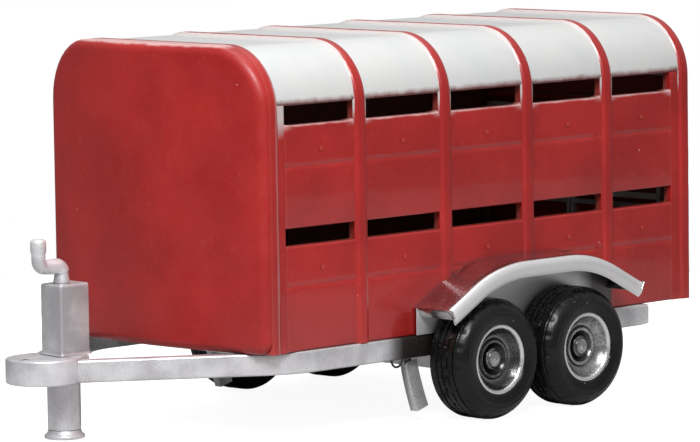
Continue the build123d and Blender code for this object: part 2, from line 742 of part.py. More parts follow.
def prop_brackets():
    """A lug and pin under each rail for its prop stand."""
    y, z = PROP_PIVOT
    brackets = []
    for side in SIDES.values():
        bracket = block((PROP_X - 15, PROP_X + 15), (y - 11, y + 11), (z, RAIL_BOTTOM))
        bracket += rod_x(11, (PROP_X - 15, PROP_X + 15), y, z)
        bracket += rod_x(8, (PROP_X - 31, PROP_X + 31), y, z)
        brackets.append(on_side(bracket, side))
    return group(brackets)


def cable_loop():
    """The lighting cable, hanging in a small loop under the right-hand rail."""
    x, y = PROP_X + 44, PROP_PIVOT[0] - 93
    path = ThreePointArc((x, y - 40, RAIL_BOTTOM), (x, y, RAIL_BOTTOM - 40), (x, y + 40, RAIL_BOTTOM))
    return sweep(Plane(path @ 0, z_dir=path % 0) * Circle(6), path=path)


# ---- every node ------------------------------------------------------------------------------


def fixed_pieces():
    """Pieces that there is one of, or that share a node because they are identical."""
    return {
        "cross_members": cross_members(),
        "nose_plate": nose_plate(),
        "towing_eye_bush": towing_eye_bush(),
        "floor_boards": floor_boards(),
        "jack_sleeve": jack_sleeve(),
        "jack_housing": jack_housing(),
        "jack_leg": jack_leg(),
        "jack_nut": jack_nut(),
        "jack_foot": jack_foot(),
        "jack_screw": jack_screw(),
        "jack_crank": jack_crank(),
        "crank_grip": crank_grip(),
        "axle_beams": axle_beams(),
        "body_hoops": body_hoops(),
        "front_cap": front_cap(),
        "corner_posts": corner_posts(),
        "roof_panels": roof_panels(),
        "panel_studs": panel_studs(),
        "rear_sill": rear_sill(),
        "ramp_pins": ramp_pins(),
        "ramp_door": ramp_door(),
        "ramp_treads": ramp_treads(),
        "latch_keepers": latch_keepers(),
        "rear_lamps": rear_lamps(),
        "number_plate": number_plate(),
        "gate_brackets": gate_brackets(),
        "prop_brackets": prop_brackets(),
        "cable_loop": cable_loop(),
    }


def handed_pieces():
    """Pieces that come in a left-hand and a right-hand version."""
    pieces = {}
    for name, side in SIDES.items():
        pieces[f"frame_rail_{name}"] = frame_rail(side)
        pieces[f"side_panels_lower_{name}"] = side_panels(
            side, (BODY_BOTTOM, LOWER_SLOT[0]), PANEL_LINES[0], STUD_HEIGHTS[0]
        )
        pieces[f"side_panels_upper_{name}"] = side_panels(
            side, (LOWER_SLOT[1], UPPER_SLOT[0]), PANEL_LINES[1], STUD_HEIGHTS[1]
        )
        pieces[f"vent_shutter_{name}"] = vent_shutter(side)
        pieces[f"mudguard_{name}"] = mudguard(side)
        pieces[f"ramp_latch_{name}"] = ramp_latch(side)
        pieces[f"gate_{name}"] = gate(side)
        pieces[f"prop_stand_{name}"] = prop_stand(side)
        for axle, axle_y in AXLES.items():
            pieces[f"suspension_arm_{axle}_{name}"] = suspension_arm(axle_y, side)
            pieces[f"tyre_{axle}_{name}"] = tyre(axle_y, side)
            pieces[f"rim_{axle}_{name}"] = rim(axle_y, side)
            pieces[f"hub_{axle}_{name}"] = hub(axle_y, side)
    return pieces


def in_place(piece):
    """A piece moved into the trailer's frame, one solid at a time."""
    moved = [Pos(0, -MIDDLE_Y, 0) * solid for solid in piece.solids()]
    return moved[0] if len(moved) == 1 else Compound(moved)


def main():
    """Write one file for each piece, in the trailer's frame."""
    os.makedirs("parts", exist_ok=True)
    for name, piece in {**fixed_pieces(), **handed_pieces()}.items():
        export_step(in_place(piece), f"parts/{name}.step")


main()
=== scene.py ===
from math import cos, hypot, pi, radians, sin, tan

import bpy
from mathutils import Vector, Matrix


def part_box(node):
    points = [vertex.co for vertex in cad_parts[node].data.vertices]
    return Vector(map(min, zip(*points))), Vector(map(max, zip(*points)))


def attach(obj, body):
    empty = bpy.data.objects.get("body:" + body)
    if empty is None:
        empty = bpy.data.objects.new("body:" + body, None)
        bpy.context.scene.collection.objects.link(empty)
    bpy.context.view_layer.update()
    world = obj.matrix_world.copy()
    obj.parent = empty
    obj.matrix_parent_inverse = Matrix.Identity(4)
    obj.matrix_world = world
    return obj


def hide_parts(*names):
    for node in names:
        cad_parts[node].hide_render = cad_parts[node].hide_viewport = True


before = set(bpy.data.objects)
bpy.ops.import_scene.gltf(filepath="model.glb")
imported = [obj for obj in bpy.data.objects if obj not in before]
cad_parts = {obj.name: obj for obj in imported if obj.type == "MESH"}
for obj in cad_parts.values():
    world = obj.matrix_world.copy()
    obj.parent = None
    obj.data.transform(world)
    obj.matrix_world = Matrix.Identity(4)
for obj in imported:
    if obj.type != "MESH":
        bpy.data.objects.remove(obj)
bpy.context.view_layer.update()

# Looks for the livestock trailer. Sizes are in millimetres; y is measured from the first hoop,
# and at() turns a point into the frame's metres.

HOOP_WIDTH = 65.0
ORIGIN_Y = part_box("body_hoops")[0][1] * 1000 + HOOP_WIDTH / 2


def drawn_box(node):
    """A CAD node's low and high corners, in millimetres, with y measured from the first hoop."""
    low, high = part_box(node)
    return tuple(
        (corner[0] * 1000, corner[1] * 1000 - ORIGIN_Y, corner[2] * 1000) for corner in (low, high)
    )


def middle(node, axis):
    low, high = drawn_box(node)
    return (low[axis] + high[axis]) / 2


BAYS = 5
HOOPS_LOW, HOOPS_HIGH = drawn_box("body_hoops")
BAY = (HOOPS_HIGH[1] - HOOPS_LOW[1] - HOOP_WIDTH) / BAYS
HOOP_LINES = [BAY * i for i in range(BAYS + 1)]
HOOP_OUTER = HOOPS_HIGH[0]
HOOP_TOP = HOOPS_HIGH[2]
HOOP_CORNER = 340.0
HOOP_DEPTH = 76.0
PANEL_INSET = 16.0           # how far the panels and roof lie below the hoops' crests
BODY_BOTTOM = HOOPS_LOW[2]
LOWER_SLOT = (1042.0, 1136.0)
UPPER_SLOT = (1680.0, 1785.0)
PANEL_LINES = (830.0, 1463.0)
FRONT_POST = 60.0
REAR_POST = 75.0
SIDES = {"right": 1, "left": -1}
AXLES = {name: middle(f"tyre_{name}_right", 1) for name in ("front", "rear")}
WHEEL_CENTRE = middle("tyre_front_right", 0)
WHEEL_Z = middle("tyre_front_right", 2)
GUARD_LINE = [(1043.0, 634.0), (1445.0, 858.0), (2210.0, 858.0), (2603.0, 655.0)]
GUARD_OUTER = drawn_box("mudguard_right")[1][0]
RAIL_END = drawn_box("frame_rail_right")[1][1]
JACK_Y = middle("jack_leg", 1)
EYE_Y = middle("towing_eye_bush", 1)
NOSE_LOW, NOSE_HIGH = drawn_box("nose_plate")
NOSE_RADIUS = NOSE_HIGH[0]
NOSE_Y = NOSE_LOW[1] + NOSE_RADIUS


def at(x, y, z):
    """A point in the frame, in metres, from millimetres with y measured from the first hoop."""
    return Vector((x / 1000, (y + ORIGIN_Y) / 1000, z / 1000))


# ---- node materials --------------------------------------------------------------------------


class Paint:
    """A material under construction: small helpers that add and link shader nodes."""

    def __init__(self, name, roughness=0.4, metallic=0.0, coat=0.0):
        self.material = bpy.data.materials.new(name)
        self.material.use_nodes = True
        self.tree = self.material.node_tree
        self.bsdf = self.tree.nodes["Principled BSDF"]
        self.bsdf.inputs["Roughness"].default_value = roughness
        self.bsdf.inputs["Metallic"].default_value = metallic
        self.bsdf.inputs["Coat Weight"].default_value = coat
        self.bsdf.inputs["Coat Roughness"].default_value = 0.06
        self.coords = self.tree.nodes.new("ShaderNodeTexCoord").outputs["Object"]

    def node(self, kind, **settings):
        made = self.tree.nodes.new(kind)
        for key, value in settings.items():
            setattr(made, key, value)
        return made

    def feed(self, socket, value):
        if isinstance(value, bpy.types.NodeSocket):
            self.tree.links.new(value, socket)
        else:
            socket.default_value = value

    def noise(self, scale, detail=4.0, roughness=0.5, stretch=(1, 1, 1)):
        mapping = self.node("ShaderNodeMapping")
        mapping.inputs["Scale"].default_value = stretch
        self.feed(mapping.inputs["Vector"], self.coords)
        made = self.node("ShaderNodeTexNoise")
        made.inputs["Scale"].default_value = scale
        made.inputs["Detail"].default_value = detail
        made.inputs["Roughness"].default_value = roughness
        self.feed(made.inputs["Vector"], mapping.outputs["Vector"])
        return made.outputs["Fac"]

    def cells(self, scale):
        """Distance to the nearest of many scattered points."""
        made = self.node("ShaderNodeTexVoronoi")
        made.inputs["Scale"].default_value = scale
        self.feed(made.inputs["Vector"], self.coords)
        return made.outputs["Distance"]

    def math(self, operation, a, b=0.0):
        made = self.node("ShaderNodeMath", operation=operation)
        self.feed(made.inputs[0], a)
        self.feed(made.inputs[1], b)
        return made.outputs["Value"]

    def span(self, value, low, high, start=0.0, end=1.0):
        """A value mapped smoothly and clamped from one span to another."""
        made = self.node("ShaderNodeMapRange", interpolation_type="SMOOTHSTEP", clamp=True)
        self.feed(made.inputs["Value"], value)
        made.inputs["From Min"].default_value = low
        made.inputs["From Max"].default_value = high
        made.inputs["To Min"].default_value = start
        made.inputs["To Max"].default_value = end
        return made.outputs["Result"]

    def mix(self, factor, a, b):
        made = self.node("ShaderNodeMix", data_type="RGBA")
        self.feed(made.inputs["Factor"], factor)
        for socket, colour in ((made.inputs[6], a), (made.inputs[7], b)):
            self.feed(socket, (*colour, 1.0) if isinstance(colour, tuple) else colour)
        return made.outputs[2]

    def height(self):
        """The height of the shaded point above the ground, in metres."""
        split = self.node("ShaderNodeSeparateXYZ")
        self.feed(split.inputs["Vector"], self.coords)
        return split.outputs["Z"]

    def ragged_height(self, scale, detail, amount):
        """The height with noise added, so that a line of paint at some height wanders."""
        return self.math("ADD", self.height(), self.math("MULTIPLY", self.noise(scale, detail), amount))

    def inside(self):
        """0 on the body's outer skin, rising to 1 on its inner faces."""
        return self.span(self.attribute("buried"), 0.15, 0.9)

    def edges(self):
        """Higher on raised edges, lower in hollows; 0.5 on flat parts."""
        return self.node("ShaderNodeNewGeometry").outputs["Pointiness"]

    def hollows(self, distance):
        """1 in the open and lower in corners."""
        made = self.node("ShaderNodeAmbientOcclusion", samples=8)
        made.inputs["Distance"].default_value = distance
        return made.outputs["AO"]

    def attribute(self, name):
        return self.node("ShaderNodeAttribute", attribute_name=name).outputs["Fac"]

    def bump(self, *layers):
        """Stack bumps: each layer is (height, strength, distance in metres)."""
        normal = None
        for height, strength, distance in layers:
            made = self.node("ShaderNodeBump")
            made.inputs["Strength"].default_value = strength
            made.inputs["Distance"].default_value = distance
            self.feed(made.inputs["Height"], height)
            if normal is not None:
                self.feed(made.inputs["Normal"], normal)
            normal = made.outputs["Normal"]
        self.feed(self.bsdf.inputs["Normal"], normal)
        return normal

    def finish(self, colour, roughness=None):
        self.feed(self.bsdf.inputs["Base Color"], colour)
        if roughness is not None:
            self.feed(self.bsdf.inputs["Roughness"], roughness)
        return self.material


RED_DEEP = (0.34, 0.010, 0.009)
RED = (0.42, 0.015, 0.013)
# thin orange-red paint, also laid over edges as a painted highlight
RED_THIN_AND_HIGHLIGHT = (0.52, 0.055, 0.040)
# deep red of pooled paint, used as painted shade in hollows
RED_DARK = (0.12, 0.004, 0.005)
DULL_INSIDE = (0.26, 0.055, 0.045)
WHITE = (0.62, 0.62, 0.61)
PINK_WHITE = (0.66, 0.42, 0.41)
FLANK_WHITE = (0.58, 0.52, 0.51)
# near-black painted shade, beside the wheels and inside the guards' tails
PAINTED_SHADE = (0.020, 0.012, 0.010)
BRIGHT_EDGE = (0.92, 0.92, 0.93)


def red_colour(paint):
    """Thick glossy red: pooled deeper and given painted shade in hollows, thinner and more orange over edges
    with a painted highlight there, with a few specks.
    """
    wide = paint.noise(2.2, 3.0)
    fine = paint.noise(38.0, 5.0)
    body = paint.mix(paint.span(wide, 0.35, 0.65), RED_DEEP, RED)
    body = paint.mix(paint.span(fine, 0.55, 0.80, 0.0, 0.35), body, RED_THIN_AND_HIGHLIGHT)
    # thinner paint and a painted highlight along raised edges
    body = paint.mix(paint.span(paint.edges(), 0.52, 0.62, 0.0, 0.6), body, RED_THIN_AND_HIGHLIGHT)
    # painted shade: darker red in hollows and corners, where paint also pools
    body = paint.mix(paint.span(paint.hollows(0.05), 0.35, 0.95, 0.55, 0.0), body, RED_DARK)
    specks = paint.math("MULTIPLY", paint.span(paint.cells(9.0), 0.030, 0.045, 1.0, 0.0),
                        paint.span(paint.noise(3.7), 0.54, 0.58))
    return paint.mix(specks, body, (0.75, 0.45, 0.42))


def red_bumps(paint):
    """Orange peel, slow waves in the casting and faint scratches."""
    peel = paint.noise(95.0, 2.0)
    waves = paint.noise(3.0, 2.0)
    lumps = paint.noise(14.0, 3.0)
    return paint.bump((waves, 0.35, 0.010), (lumps, 0.12, 0.004), (peel, 0.10, 0.0010))


def glossy_red(name, coat=0.45):
    """The start of each red paint: its bumps and a thin clear coat."""
    paint = Paint(name, roughness=0.34, coat=coat)
    normal = red_bumps(paint)
    paint.feed(paint.bsdf.inputs["Coat Normal"], normal)
    return paint


def red_paint():
    paint = glossy_red("red_paint")
    rough = paint.span(paint.noise(7.0, 4.0), 0.3, 0.7, 0.28, 0.42)
    return paint.finish(red_colour(paint), rough)


def cap_paint():
    """Red paint with the roof's white mist drifting over its top edge."""
    paint = glossy_red("cap_paint", coat=0.12)
    level = paint.ragged_height(14.0, 5.0, 0.016)
    mist = paint.span(level, 2.096, 2.110, 0.0, 0.85)
    rough = paint.span(paint.noise(7.0, 4.0), 0.3, 0.7, 0.34, 0.50)
    return paint.finish(paint.mix(mist, red_colour(paint), PINK_WHITE), rough)


def panel_paint():
    """Red paint, dull on the inside, with white mist along the sill of the upper slot."""
    paint = glossy_red("panel_paint")
    level = paint.ragged_height(9.0, 4.0, 0.020)
    above_slot = paint.span(paint.height(), 1.700, 1.710, 1.0, 0.0)
    mist = paint.math("MULTIPLY", paint.span(level, 1.678, 1.692, 0.0, 0.9), above_slot)
    ends = paint.math("MULTIPLY", paint.attribute("near_hoop"), paint.span(level, 1.655, 1.69, 0.0, 0.75))
    mist = paint.math("MAXIMUM", mist, ends)
    colour = paint.mix(mist, red_colour(paint), PINK_WHITE)
    return paint.finish(paint.mix(paint.inside(), colour, DULL_INSIDE))


def post_paint():
    """Red paint; the roof's white mist runs down the front posts as far as the upper sill."""
    paint = glossy_red("post_paint")
    level = paint.ragged_height(12.0, 4.0, 0.040)
    mist = paint.math("MULTIPLY", paint.attribute("front_post"), paint.span(level, 1.62, 1.74, 0.0, 0.9))
    colour = paint.mix(mist, red_colour(paint), FLANK_WHITE)
    return paint.finish(paint.mix(paint.inside(), colour, DULL_INSIDE))


def hoop_paint():
    """Red crests; over the roof the flanks are misted white and only a thin red line is left. A painted
    pinkish highlight runs down the first hoop's rear edge.
    """
    paint = glossy_red("hoop_paint")
    flank = paint.attribute("flank")
    ragged = paint.math("ADD", flank, paint.math("MULTIPLY", paint.noise(16.0, 5.0), 0.18))
    rise = paint.span(paint.height(), 1.80, 2.08, 0.88, 0.60)
    white = paint.span(paint.math("SUBTRACT", ragged, rise), 0.0, 0.08)
    over_slot = paint.span(paint.height(), 1.66, 1.76)
    white = paint.math("MULTIPLY", white, over_slot)
    # painted highlight: a pinkish line down the first hoop's rear edge
    thin = paint.math("MULTIPLY", paint.attribute("highlight_edge"), 0.30)
    colour = paint.mix(thin, red_colour(paint), PINK_WHITE)
    colour = paint.mix(white, colour, FLANK_WHITE)
    return paint.finish(paint.mix(paint.inside(), colour, DULL_INSIDE))


def white_paint():
    """Satin white, a little grey in drifts, and deep red with painted shade along its lower edge over the
    upper slots.
    """
    paint = Paint("white_paint", roughness=0.42, coat=0.25)
    wide = paint.noise(3.2, 4.0)
    colour = paint.mix(paint.span(wide, 0.35, 0.70), WHITE, (0.58, 0.59, 0.59))
    smudges = paint.span(paint.noise(26.0, 6.0), 0.58, 0.80, 0.0, 0.35)
    colour = paint.mix(smudges, colour, (0.52, 0.52, 0.52))
    level = paint.ragged_height(20.0, 4.0, 0.030)
    # painted shade: deep red along the roof's lower edge, over the upper slots
    colour = paint.mix(paint.span(level, 1.800, 1.842, 1.0, 0.0), colour, (0.17, 0.035, 0.035))
    colour = paint.mix(paint.inside(), colour, DULL_INSIDE)
    pits = paint.span(paint.cells(60.0), 0.05, 0.12, 0.0, 1.0)
    waves, peel = paint.noise(4.0, 2.0), paint.noise(120.0, 3.0)
    paint.bump((waves, 0.25, 0.006), (peel, 0.12, 0.001), (pits, 0.2, 0.0006))
    return paint.finish(colour, paint.span(wide, 0.3, 0.7, 0.36, 0.5))


def bright_edges(paint, colour, amount):
    """Silver paint rubbed bright over its raised edges, with a painted highlight along them."""
    # rubbed metal and painted highlight along raised edges
    return paint.mix(paint.span(paint.edges(), 0.52, 0.60, 0.0, amount), colour, BRIGHT_EDGE)


def silver_paint(name="silver_paint", tone=0.76, grain=1.0, roughness=0.34):
    """Aluminium paint over a cast surface: sparkle, grain, painted shade in hollows, bright edges."""
    paint = Paint(name, roughness=roughness, metallic=0.55, coat=0.10)
    wide = paint.noise(6.0, 5.0)
    grit = paint.noise(170.0, 4.0, 0.7)
    pale = (tone * 1.10, tone * 1.09, tone * 1.12)
    dull = (tone * 0.76, tone * 0.74, tone * 0.77)
    grey = (tone * 0.5, tone * 0.5, tone * 0.52)
    colour = paint.mix(paint.span(wide, 0.35, 0.68), pale, dull)
    colour = paint.mix(paint.span(grit, 0.50, 0.72, 0.0, 0.55), colour, grey)
    colour = bright_edges(paint, colour, 0.9)
    # painted shade: dark in hollows and corners
    hollow_shade = paint.span(paint.hollows(0.06), 0.30, 0.85, 0.8, 0.0)
    colour = paint.mix(hollow_shade, colour, (0.10, 0.095, 0.09))
    # painted shade where the part's layer asks for it
    colour = paint.mix(paint.attribute("dirt_and_shade"), colour, PAINTED_SHADE)
    paint.bump((paint.noise(11.0, 3.0), 0.25 * grain, 0.004), (grit, 0.35 * grain, 0.0009))
    return paint.finish(colour, paint.span(grit, 0.35, 0.70, roughness - 0.10, roughness + 0.16))


def guard_silver():
    """Bright paint: smooth on top, where it mirrors the red wall, and softer on the outer lip."""
    paint = Paint("guard_silver", roughness=0.24, metallic=1.0)
    wide = paint.noise(5.0, 4.0)
    grit = paint.noise(150.0, 3.0, 0.6)
    lip = paint.attribute("lip")
    colour = paint.mix(paint.span(wide, 0.35, 0.68), (0.60, 0.58, 0.59), (0.46, 0.44, 0.45))
    colour = paint.mix(lip, colour, (0.74, 0.73, 0.74))
    colour = bright_edges(paint, colour, 0.8)
    # painted shade: darker in hollows and against the body
    colour = paint.mix(paint.span(paint.hollows(0.12), 0.20, 0.75, 0.6, 0.0), colour, (0.07, 0.06, 0.055))
    # painted shade inside the guard's tail
    colour = paint.mix(paint.attribute("dirt_and_shade"), colour, PAINTED_SHADE)
    paint.bump((paint.noise(11.0, 3.0), 0.12, 0.003), (grit, 0.10, 0.0006))
    paint.feed(paint.bsdf.inputs["Metallic"], paint.span(lip, 0.0, 1.0, 1.0, 0.45))
    soft = paint.math("MULTIPLY", lip, 0.16)
    return paint.finish(colour, paint.math("ADD", paint.span(grit, 0.35, 0.70, 0.16, 0.30), soft))


def rim_silver():
    """Bright paint, darkened with painted shade in the dish and round the hub."""
    paint = Paint("rim_silver", roughness=0.26, metallic=0.9)
    grit = paint.noise(90.0, 4.0, 0.65)
    colour = paint.mix(paint.span(grit, 0.40, 0.66), (0.62, 0.62, 0.63), (0.34, 0.34, 0.35))
    # painted shade: near-black in hollows, patchy, stronger on the front rims
    dish_shade = paint.math("ADD", paint.hollows(0.16), paint.math("MULTIPLY", paint.noise(24.0, 4.0), 0.35))
    dish_shade = paint.math("SUBTRACT", dish_shade, paint.math("MULTIPLY", paint.attribute("extra_shade"), 0.22))
    colour = paint.mix(paint.span(dish_shade, 0.78, 1.14, 0.94, 0.0), colour, (0.018, 0.018, 0.019))
    colour = paint.mix(paint.attribute("ring"), colour, (0.80, 0.80, 0.81))
    colour = bright_edges(paint, colour, 0.9)
    paint.bump((paint.noise(30.0, 3.0), 0.30, 0.003), (grit, 0.25, 0.0008))
    return paint.finish(colour, paint.span(grit, 0.35, 0.70, 0.16, 0.40))


def tyre_rubber():
    paint = Paint("tyre_rubber", roughness=0.34)
    paint.feed(paint.bsdf.inputs["Specular IOR Level"], 0.32)
    fine = paint.noise(140.0, 5.0, 0.7)
    patches = paint.span(paint.noise(8.0, 4.0), 0.4, 0.7)
    colour = paint.mix(patches, (0.004, 0.004, 0.004), (0.008, 0.008, 0.008))
    specks = paint.math("MULTIPLY", paint.span(paint.cells(22.0), 0.05, 0.08, 1.0, 0.0),
                        paint.span(paint.noise(5.0), 0.52, 0.57))
    colour = paint.mix(specks, colour, (0.35, 0.35, 0.36))
    paint.bump((paint.noise(18.0, 3.0), 0.18, 0.003), (fine, 0.20, 0.0008))
    return paint.finish(colour, paint.span(fine, 0.35, 0.75, 0.20, 0.46))


def dark_sheet():
    """The shutters' sheet: dull red, scuffed by the stock."""
    paint = Paint("dark_sheet", roughness=0.6, metallic=0.3)
    dirt_and_shade = paint.noise(12.0, 5.0)
    paint.bump((dirt_and_shade, 0.2, 0.002))
    return paint.finish(paint.mix(dirt_and_shade, (0.20, 0.055, 0.045), (0.30, 0.10, 0.085)))


def plain_rubber():
    paint = Paint("plain_rubber", roughness=0.5)
    fine = paint.noise(200.0, 4.0)
    paint.bump((fine, 0.2, 0.0005))
    colour = paint.mix(fine, (0.012, 0.012, 0.013), (0.03, 0.03, 0.03))
    return paint.finish(colour)


def boards():
    """Sealed boards: long grain, darker knots and wear."""
    paint = Paint("boards", roughness=0.6)
    grain = paint.noise(9.0, 6.0, 0.65, stretch=(14, 0.8, 4))
    colour = paint.mix(paint.span(grain, 0.35, 0.70), (0.20, 0.115, 0.06), (0.075, 0.042, 0.024))
    wear = paint.span(paint.noise(3.0, 5.0), 0.5, 0.75, 0.0, 0.5)
    colour = paint.mix(wear, colour, (0.24, 0.19, 0.14))
    paint.bump((grain, 0.35, 0.002))
    return paint.finish(colour, paint.span(grain, 0.3, 0.7, 0.45, 0.75))


def lamp_lens():
    paint = Paint("lamp_lens", roughness=0.12, coat=1.0)
    ribs = paint.node("ShaderNodeTexWave", bands_direction="X")
    ribs.inputs["Scale"].default_value = 60.0
    paint.feed(ribs.inputs["Vector"], paint.coords)
    paint.bump((ribs.outputs["Fac"], 0.5, 0.002))
    colour = paint.mix(paint.noise(30.0), (0.35, 0.005, 0.006), (0.62, 0.02, 0.015))
    return paint.finish(colour)


def yellow_plate():
    paint = Paint("yellow_plate", roughness=0.35, coat=0.4)
    wear = paint.noise(45.0, 5.0)
    paint.bump((wear, 0.15, 0.0005))
    colour = paint.mix(paint.span(wear, 0.5, 0.8, 0.0, 0.5), (0.78, 0.56, 0.05), (0.45, 0.33, 0.08))
    return paint.finish(colour)


def floor_paint():
    """A pale floor that glows a little to the camera, and fades into the white surround."""
    paint = Paint("studio_floor", roughness=0.7)
    paint.bump((paint.noise(1.5, 2.0), 0.02, 0.002))
    paint.feed(paint.bsdf.inputs["Specular IOR Level"], 0.1)
    camera_ray = paint.node("ShaderNodeLightPath").outputs["Is Camera Ray"]
    paint.bsdf.inputs["Emission Color"].default_value = (1.0, 1.0, 1.0, 1.0)
    paint.feed(paint.bsdf.inputs["Emission Strength"], paint.math("MULTIPLY", camera_ray, 0.93))
    return paint.finish(paint.mix(paint.noise(0.7, 3.0), (0.48, 0.48, 0.48), (0.50, 0.50, 0.50)))


MATERIALS = {
    "red_paint": red_paint(),
    "panel_paint": panel_paint(),
    "hoop_paint": hoop_paint(),
    "post_paint": post_paint(),
    "cap_paint": cap_paint(),
    "white_paint": white_paint(),
    "silver_paint": silver_paint(),
    "cast_silver": silver_paint("cast_silver", 0.78, 1.7, 0.42),
    "jack_silver": silver_paint("jack_silver", 0.62, 1.7, 0.42),
    "bright_steel": silver_paint("bright_steel", 0.72, 0.5, 0.24),
    "dull_aluminium": silver_paint("dull_aluminium", 0.45, 0.4, 0.38),
    "dark_sheet": dark_sheet(),
    "guard_silver": guard_silver(),
    "rim_silver": rim_silver(),
    "tyre_rubber": tyre_rubber(),
    "plain_rubber": plain_rubber(),
    "boards": boards(),
    "lamp_lens": lamp_lens(),
    "yellow_plate": yellow_plate(),
}


# ---- mesh helpers ----------------------------------------------------------------------------


def add_layer(made, name, values):
    """Give each of a piece's vertices a value that its material can read."""
    layer = made.data.attributes.new(name, "FLOAT", "POINT")
    layer.data.foreach_set("value", values)


def buried(point):
    """How deep a point lies in the body's wall: 0 at the outer skin, 1 at the inner one."""
    x, z = abs(point.x) * 1000, point.z * 1000
    corner_x, corner_z = HOOP_OUTER - HOOP_CORNER, HOOP_TOP - HOOP_CORNER
    if x > corner_x and z > corner_z:
        depth = HOOP_CORNER - hypot(x - corner_x, z - corner_z)
    else:
        depth = min(HOOP_OUTER - x, HOOP_TOP - z)
    return min(1.0, max(0.0, (depth - PANEL_INSET - 1) / (HOOP_DEPTH - PANEL_INSET - 1)))


def add_to_scene(name, data):
    made = bpy.data.objects.new(name, data)
    bpy.context.scene.collection.objects.link(made)
    return made


def piece(node, skin, material, body="trailer", sharp=40.0, name=None):
    """A mesh that stands for a CAD node, shaded smooth except over sharp corners."""
    name = name or f"{node}_skin"
    verts, faces = skin
    mesh = bpy.data.meshes.new(name)
    mesh.from_pydata(verts, [], faces)
    mesh.validate()
    mesh.polygons.foreach_set("use_smooth", [True] * len(mesh.polygons))
    mesh.set_sharp_from_angle(angle=radians(sharp))
    mesh.materials.append(MATERIALS[material])
    made = add_to_scene(name, mesh)
    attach(made, body)
    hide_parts(node)
    return made


def mark_inside(made):
    """Let a piece's material tell the body's outer skin from its inner faces."""
    add_layer(made, "buried", [buried(vertex.co) for vertex in made.data.vertices])


def loft(rings, closed_path=False, caps=True):
    """Vertices and faces of a skin over rings that all have the same number of points."""
    count = len(rings[0])
    verts = [point for ring in rings for point in ring]
    faces = []
    last = len(rings) if closed_path else len(rings) - 1
    for i in range(last):
        a, b = i * count, ((i + 1) % len(rings)) * count
        for k in range(count):
            j = (k + 1) % count
            faces.append((a + k, a + j, b + j, b + k))
    if caps and not closed_path:
        faces.append(tuple(reversed(range(count))))
        faces.append(tuple(range(len(verts) - count, len(verts))))
    return verts, faces


def join(*parts):
    """Several (vertices, faces) skins as one."""
    verts, faces = [], []
    for part_verts, part_faces in parts:
        base = len(verts)
        verts += part_verts
        faces += [tuple(base + i for i in face) for face in part_faces]
    return verts, faces


def outward(part):
    """The same skin with its faces turned the other way."""
    verts, faces = part
    return verts, [tuple(reversed(face)) for face in faces]


def mirrored(part, side):
    """The right-hand skin, or its mirror image for the left-hand side."""
    if side > 0:
        return part
    verts, faces = part
    return [Vector((-v.x, v.y, v.z)) for v in verts], [tuple(reversed(face)) for face in faces]


def lathe(profile, x, y, z, segments=128, shape=None):
    """A skin turned about a line along X. The profile is (offset, radius) points, a closed loop."""
    rings = []
    for k in range(segments):
        angle = 2 * pi * k / segments
        ring = []
        for offset, radius in profile:
            if shape:
                radius = shape(k, offset, radius)
            ring.append(at(x + offset, y + radius * cos(angle), z + radius * sin(angle)))
        rings.append(ring)
    return loft(rings, closed_path=True)


def upright_lathe(profile, x, y, segments=72):
    """A skin turned about a vertical line. The profile is (radius, height) points, a closed loop."""
    rings = []
    for k in range(segments):
        angle = 2 * pi * k / segments
        rings.append([at(x + r * cos(angle), y + r * sin(angle), h) for r, h in profile])
    return loft(rings, closed_path=True)


def rounded_rectangle(half_a, half_b, radius, steps=5):
    """Points round a rectangle with rounded corners, anticlockwise."""
    points = []
    for corner, (sa, sb) in enumerate(((1, 1), (-1, 1), (-1, -1), (1, -1))):
        for k in range(steps + 1):
            angle = pi / 2 * (corner + k / steps)
            points.append((
                sa * (half_a - radius) + radius * cos(angle),
                sb * (half_b - radius) + radius * sin(angle),
            ))
    return points


def smooth_path(points, radius, steps=8):
    """Points along a bent 2-D or 3-D line, with each bend rounded."""
    path = [Vector(points[0])]
    for before, corner, after in zip(points, points[1:], points[2:]):
        before, corner, after = Vector(before), Vector(corner), Vector(after)
        into = (before - corner).normalized()
        out = (after - corner).normalized()
        half = into.angle(out) / 2
        reach = radius / tan(half)
        centre = corner + (into + out).normalized() * (radius / sin(half))
        start, end = corner + into * reach - centre, corner + out * reach - centre
        for k in range(steps + 1):
            turn = k / steps
            blend = pi - 2 * half
            weight_a = sin((1 - turn) * blend) / sin(blend)
            weight_b = sin(turn * blend) / sin(blend)
            path.append(centre + start * weight_a + end * weight_b)
    return path + [Vector(points[-1])]


def spread(low, high, count):
    """Evenly spaced values from low to high, both included."""
    return [low + (high - low) * k / (count - 1) for k in range(count)]


def wobble(*seeds):
    """A small repeatable value between -1 and 1, in place of a random draw."""
    total = sum(sin(seed * (12.9898 + 31.7 * i)) for i, seed in enumerate(seeds))
    return sin(total * 43.7585)


# ---- body ------------------------------------------------------------------------------------


def arch_stations():
    """(x, z, outward x, outward z) along the hoops' outline, from the right foot to the left."""
    centre_x = HOOP_OUTER - HOOP_CORNER
    centre_z = HOOP_TOP - HOOP_CORNER
    half = [(HOOP_OUTER, z, 1.0, 0.0) for z in spread(BODY_BOTTOM, centre_z, 36)[:-1]]
    for angle in spread(0, pi / 2, 19):
        out_x, out_z = cos(angle), sin(angle)
        half.append((centre_x + HOOP_CORNER * out_x, centre_z + HOOP_CORNER * out_z, out_x, out_z))
    half += [(x, HOOP_TOP, 0.0, 1.0) for x in spread(centre_x, 0, 9)[1:]]
    return half + [(-x, z, -nx, nz) for x, z, nx, nz in reversed(half[:-1])]


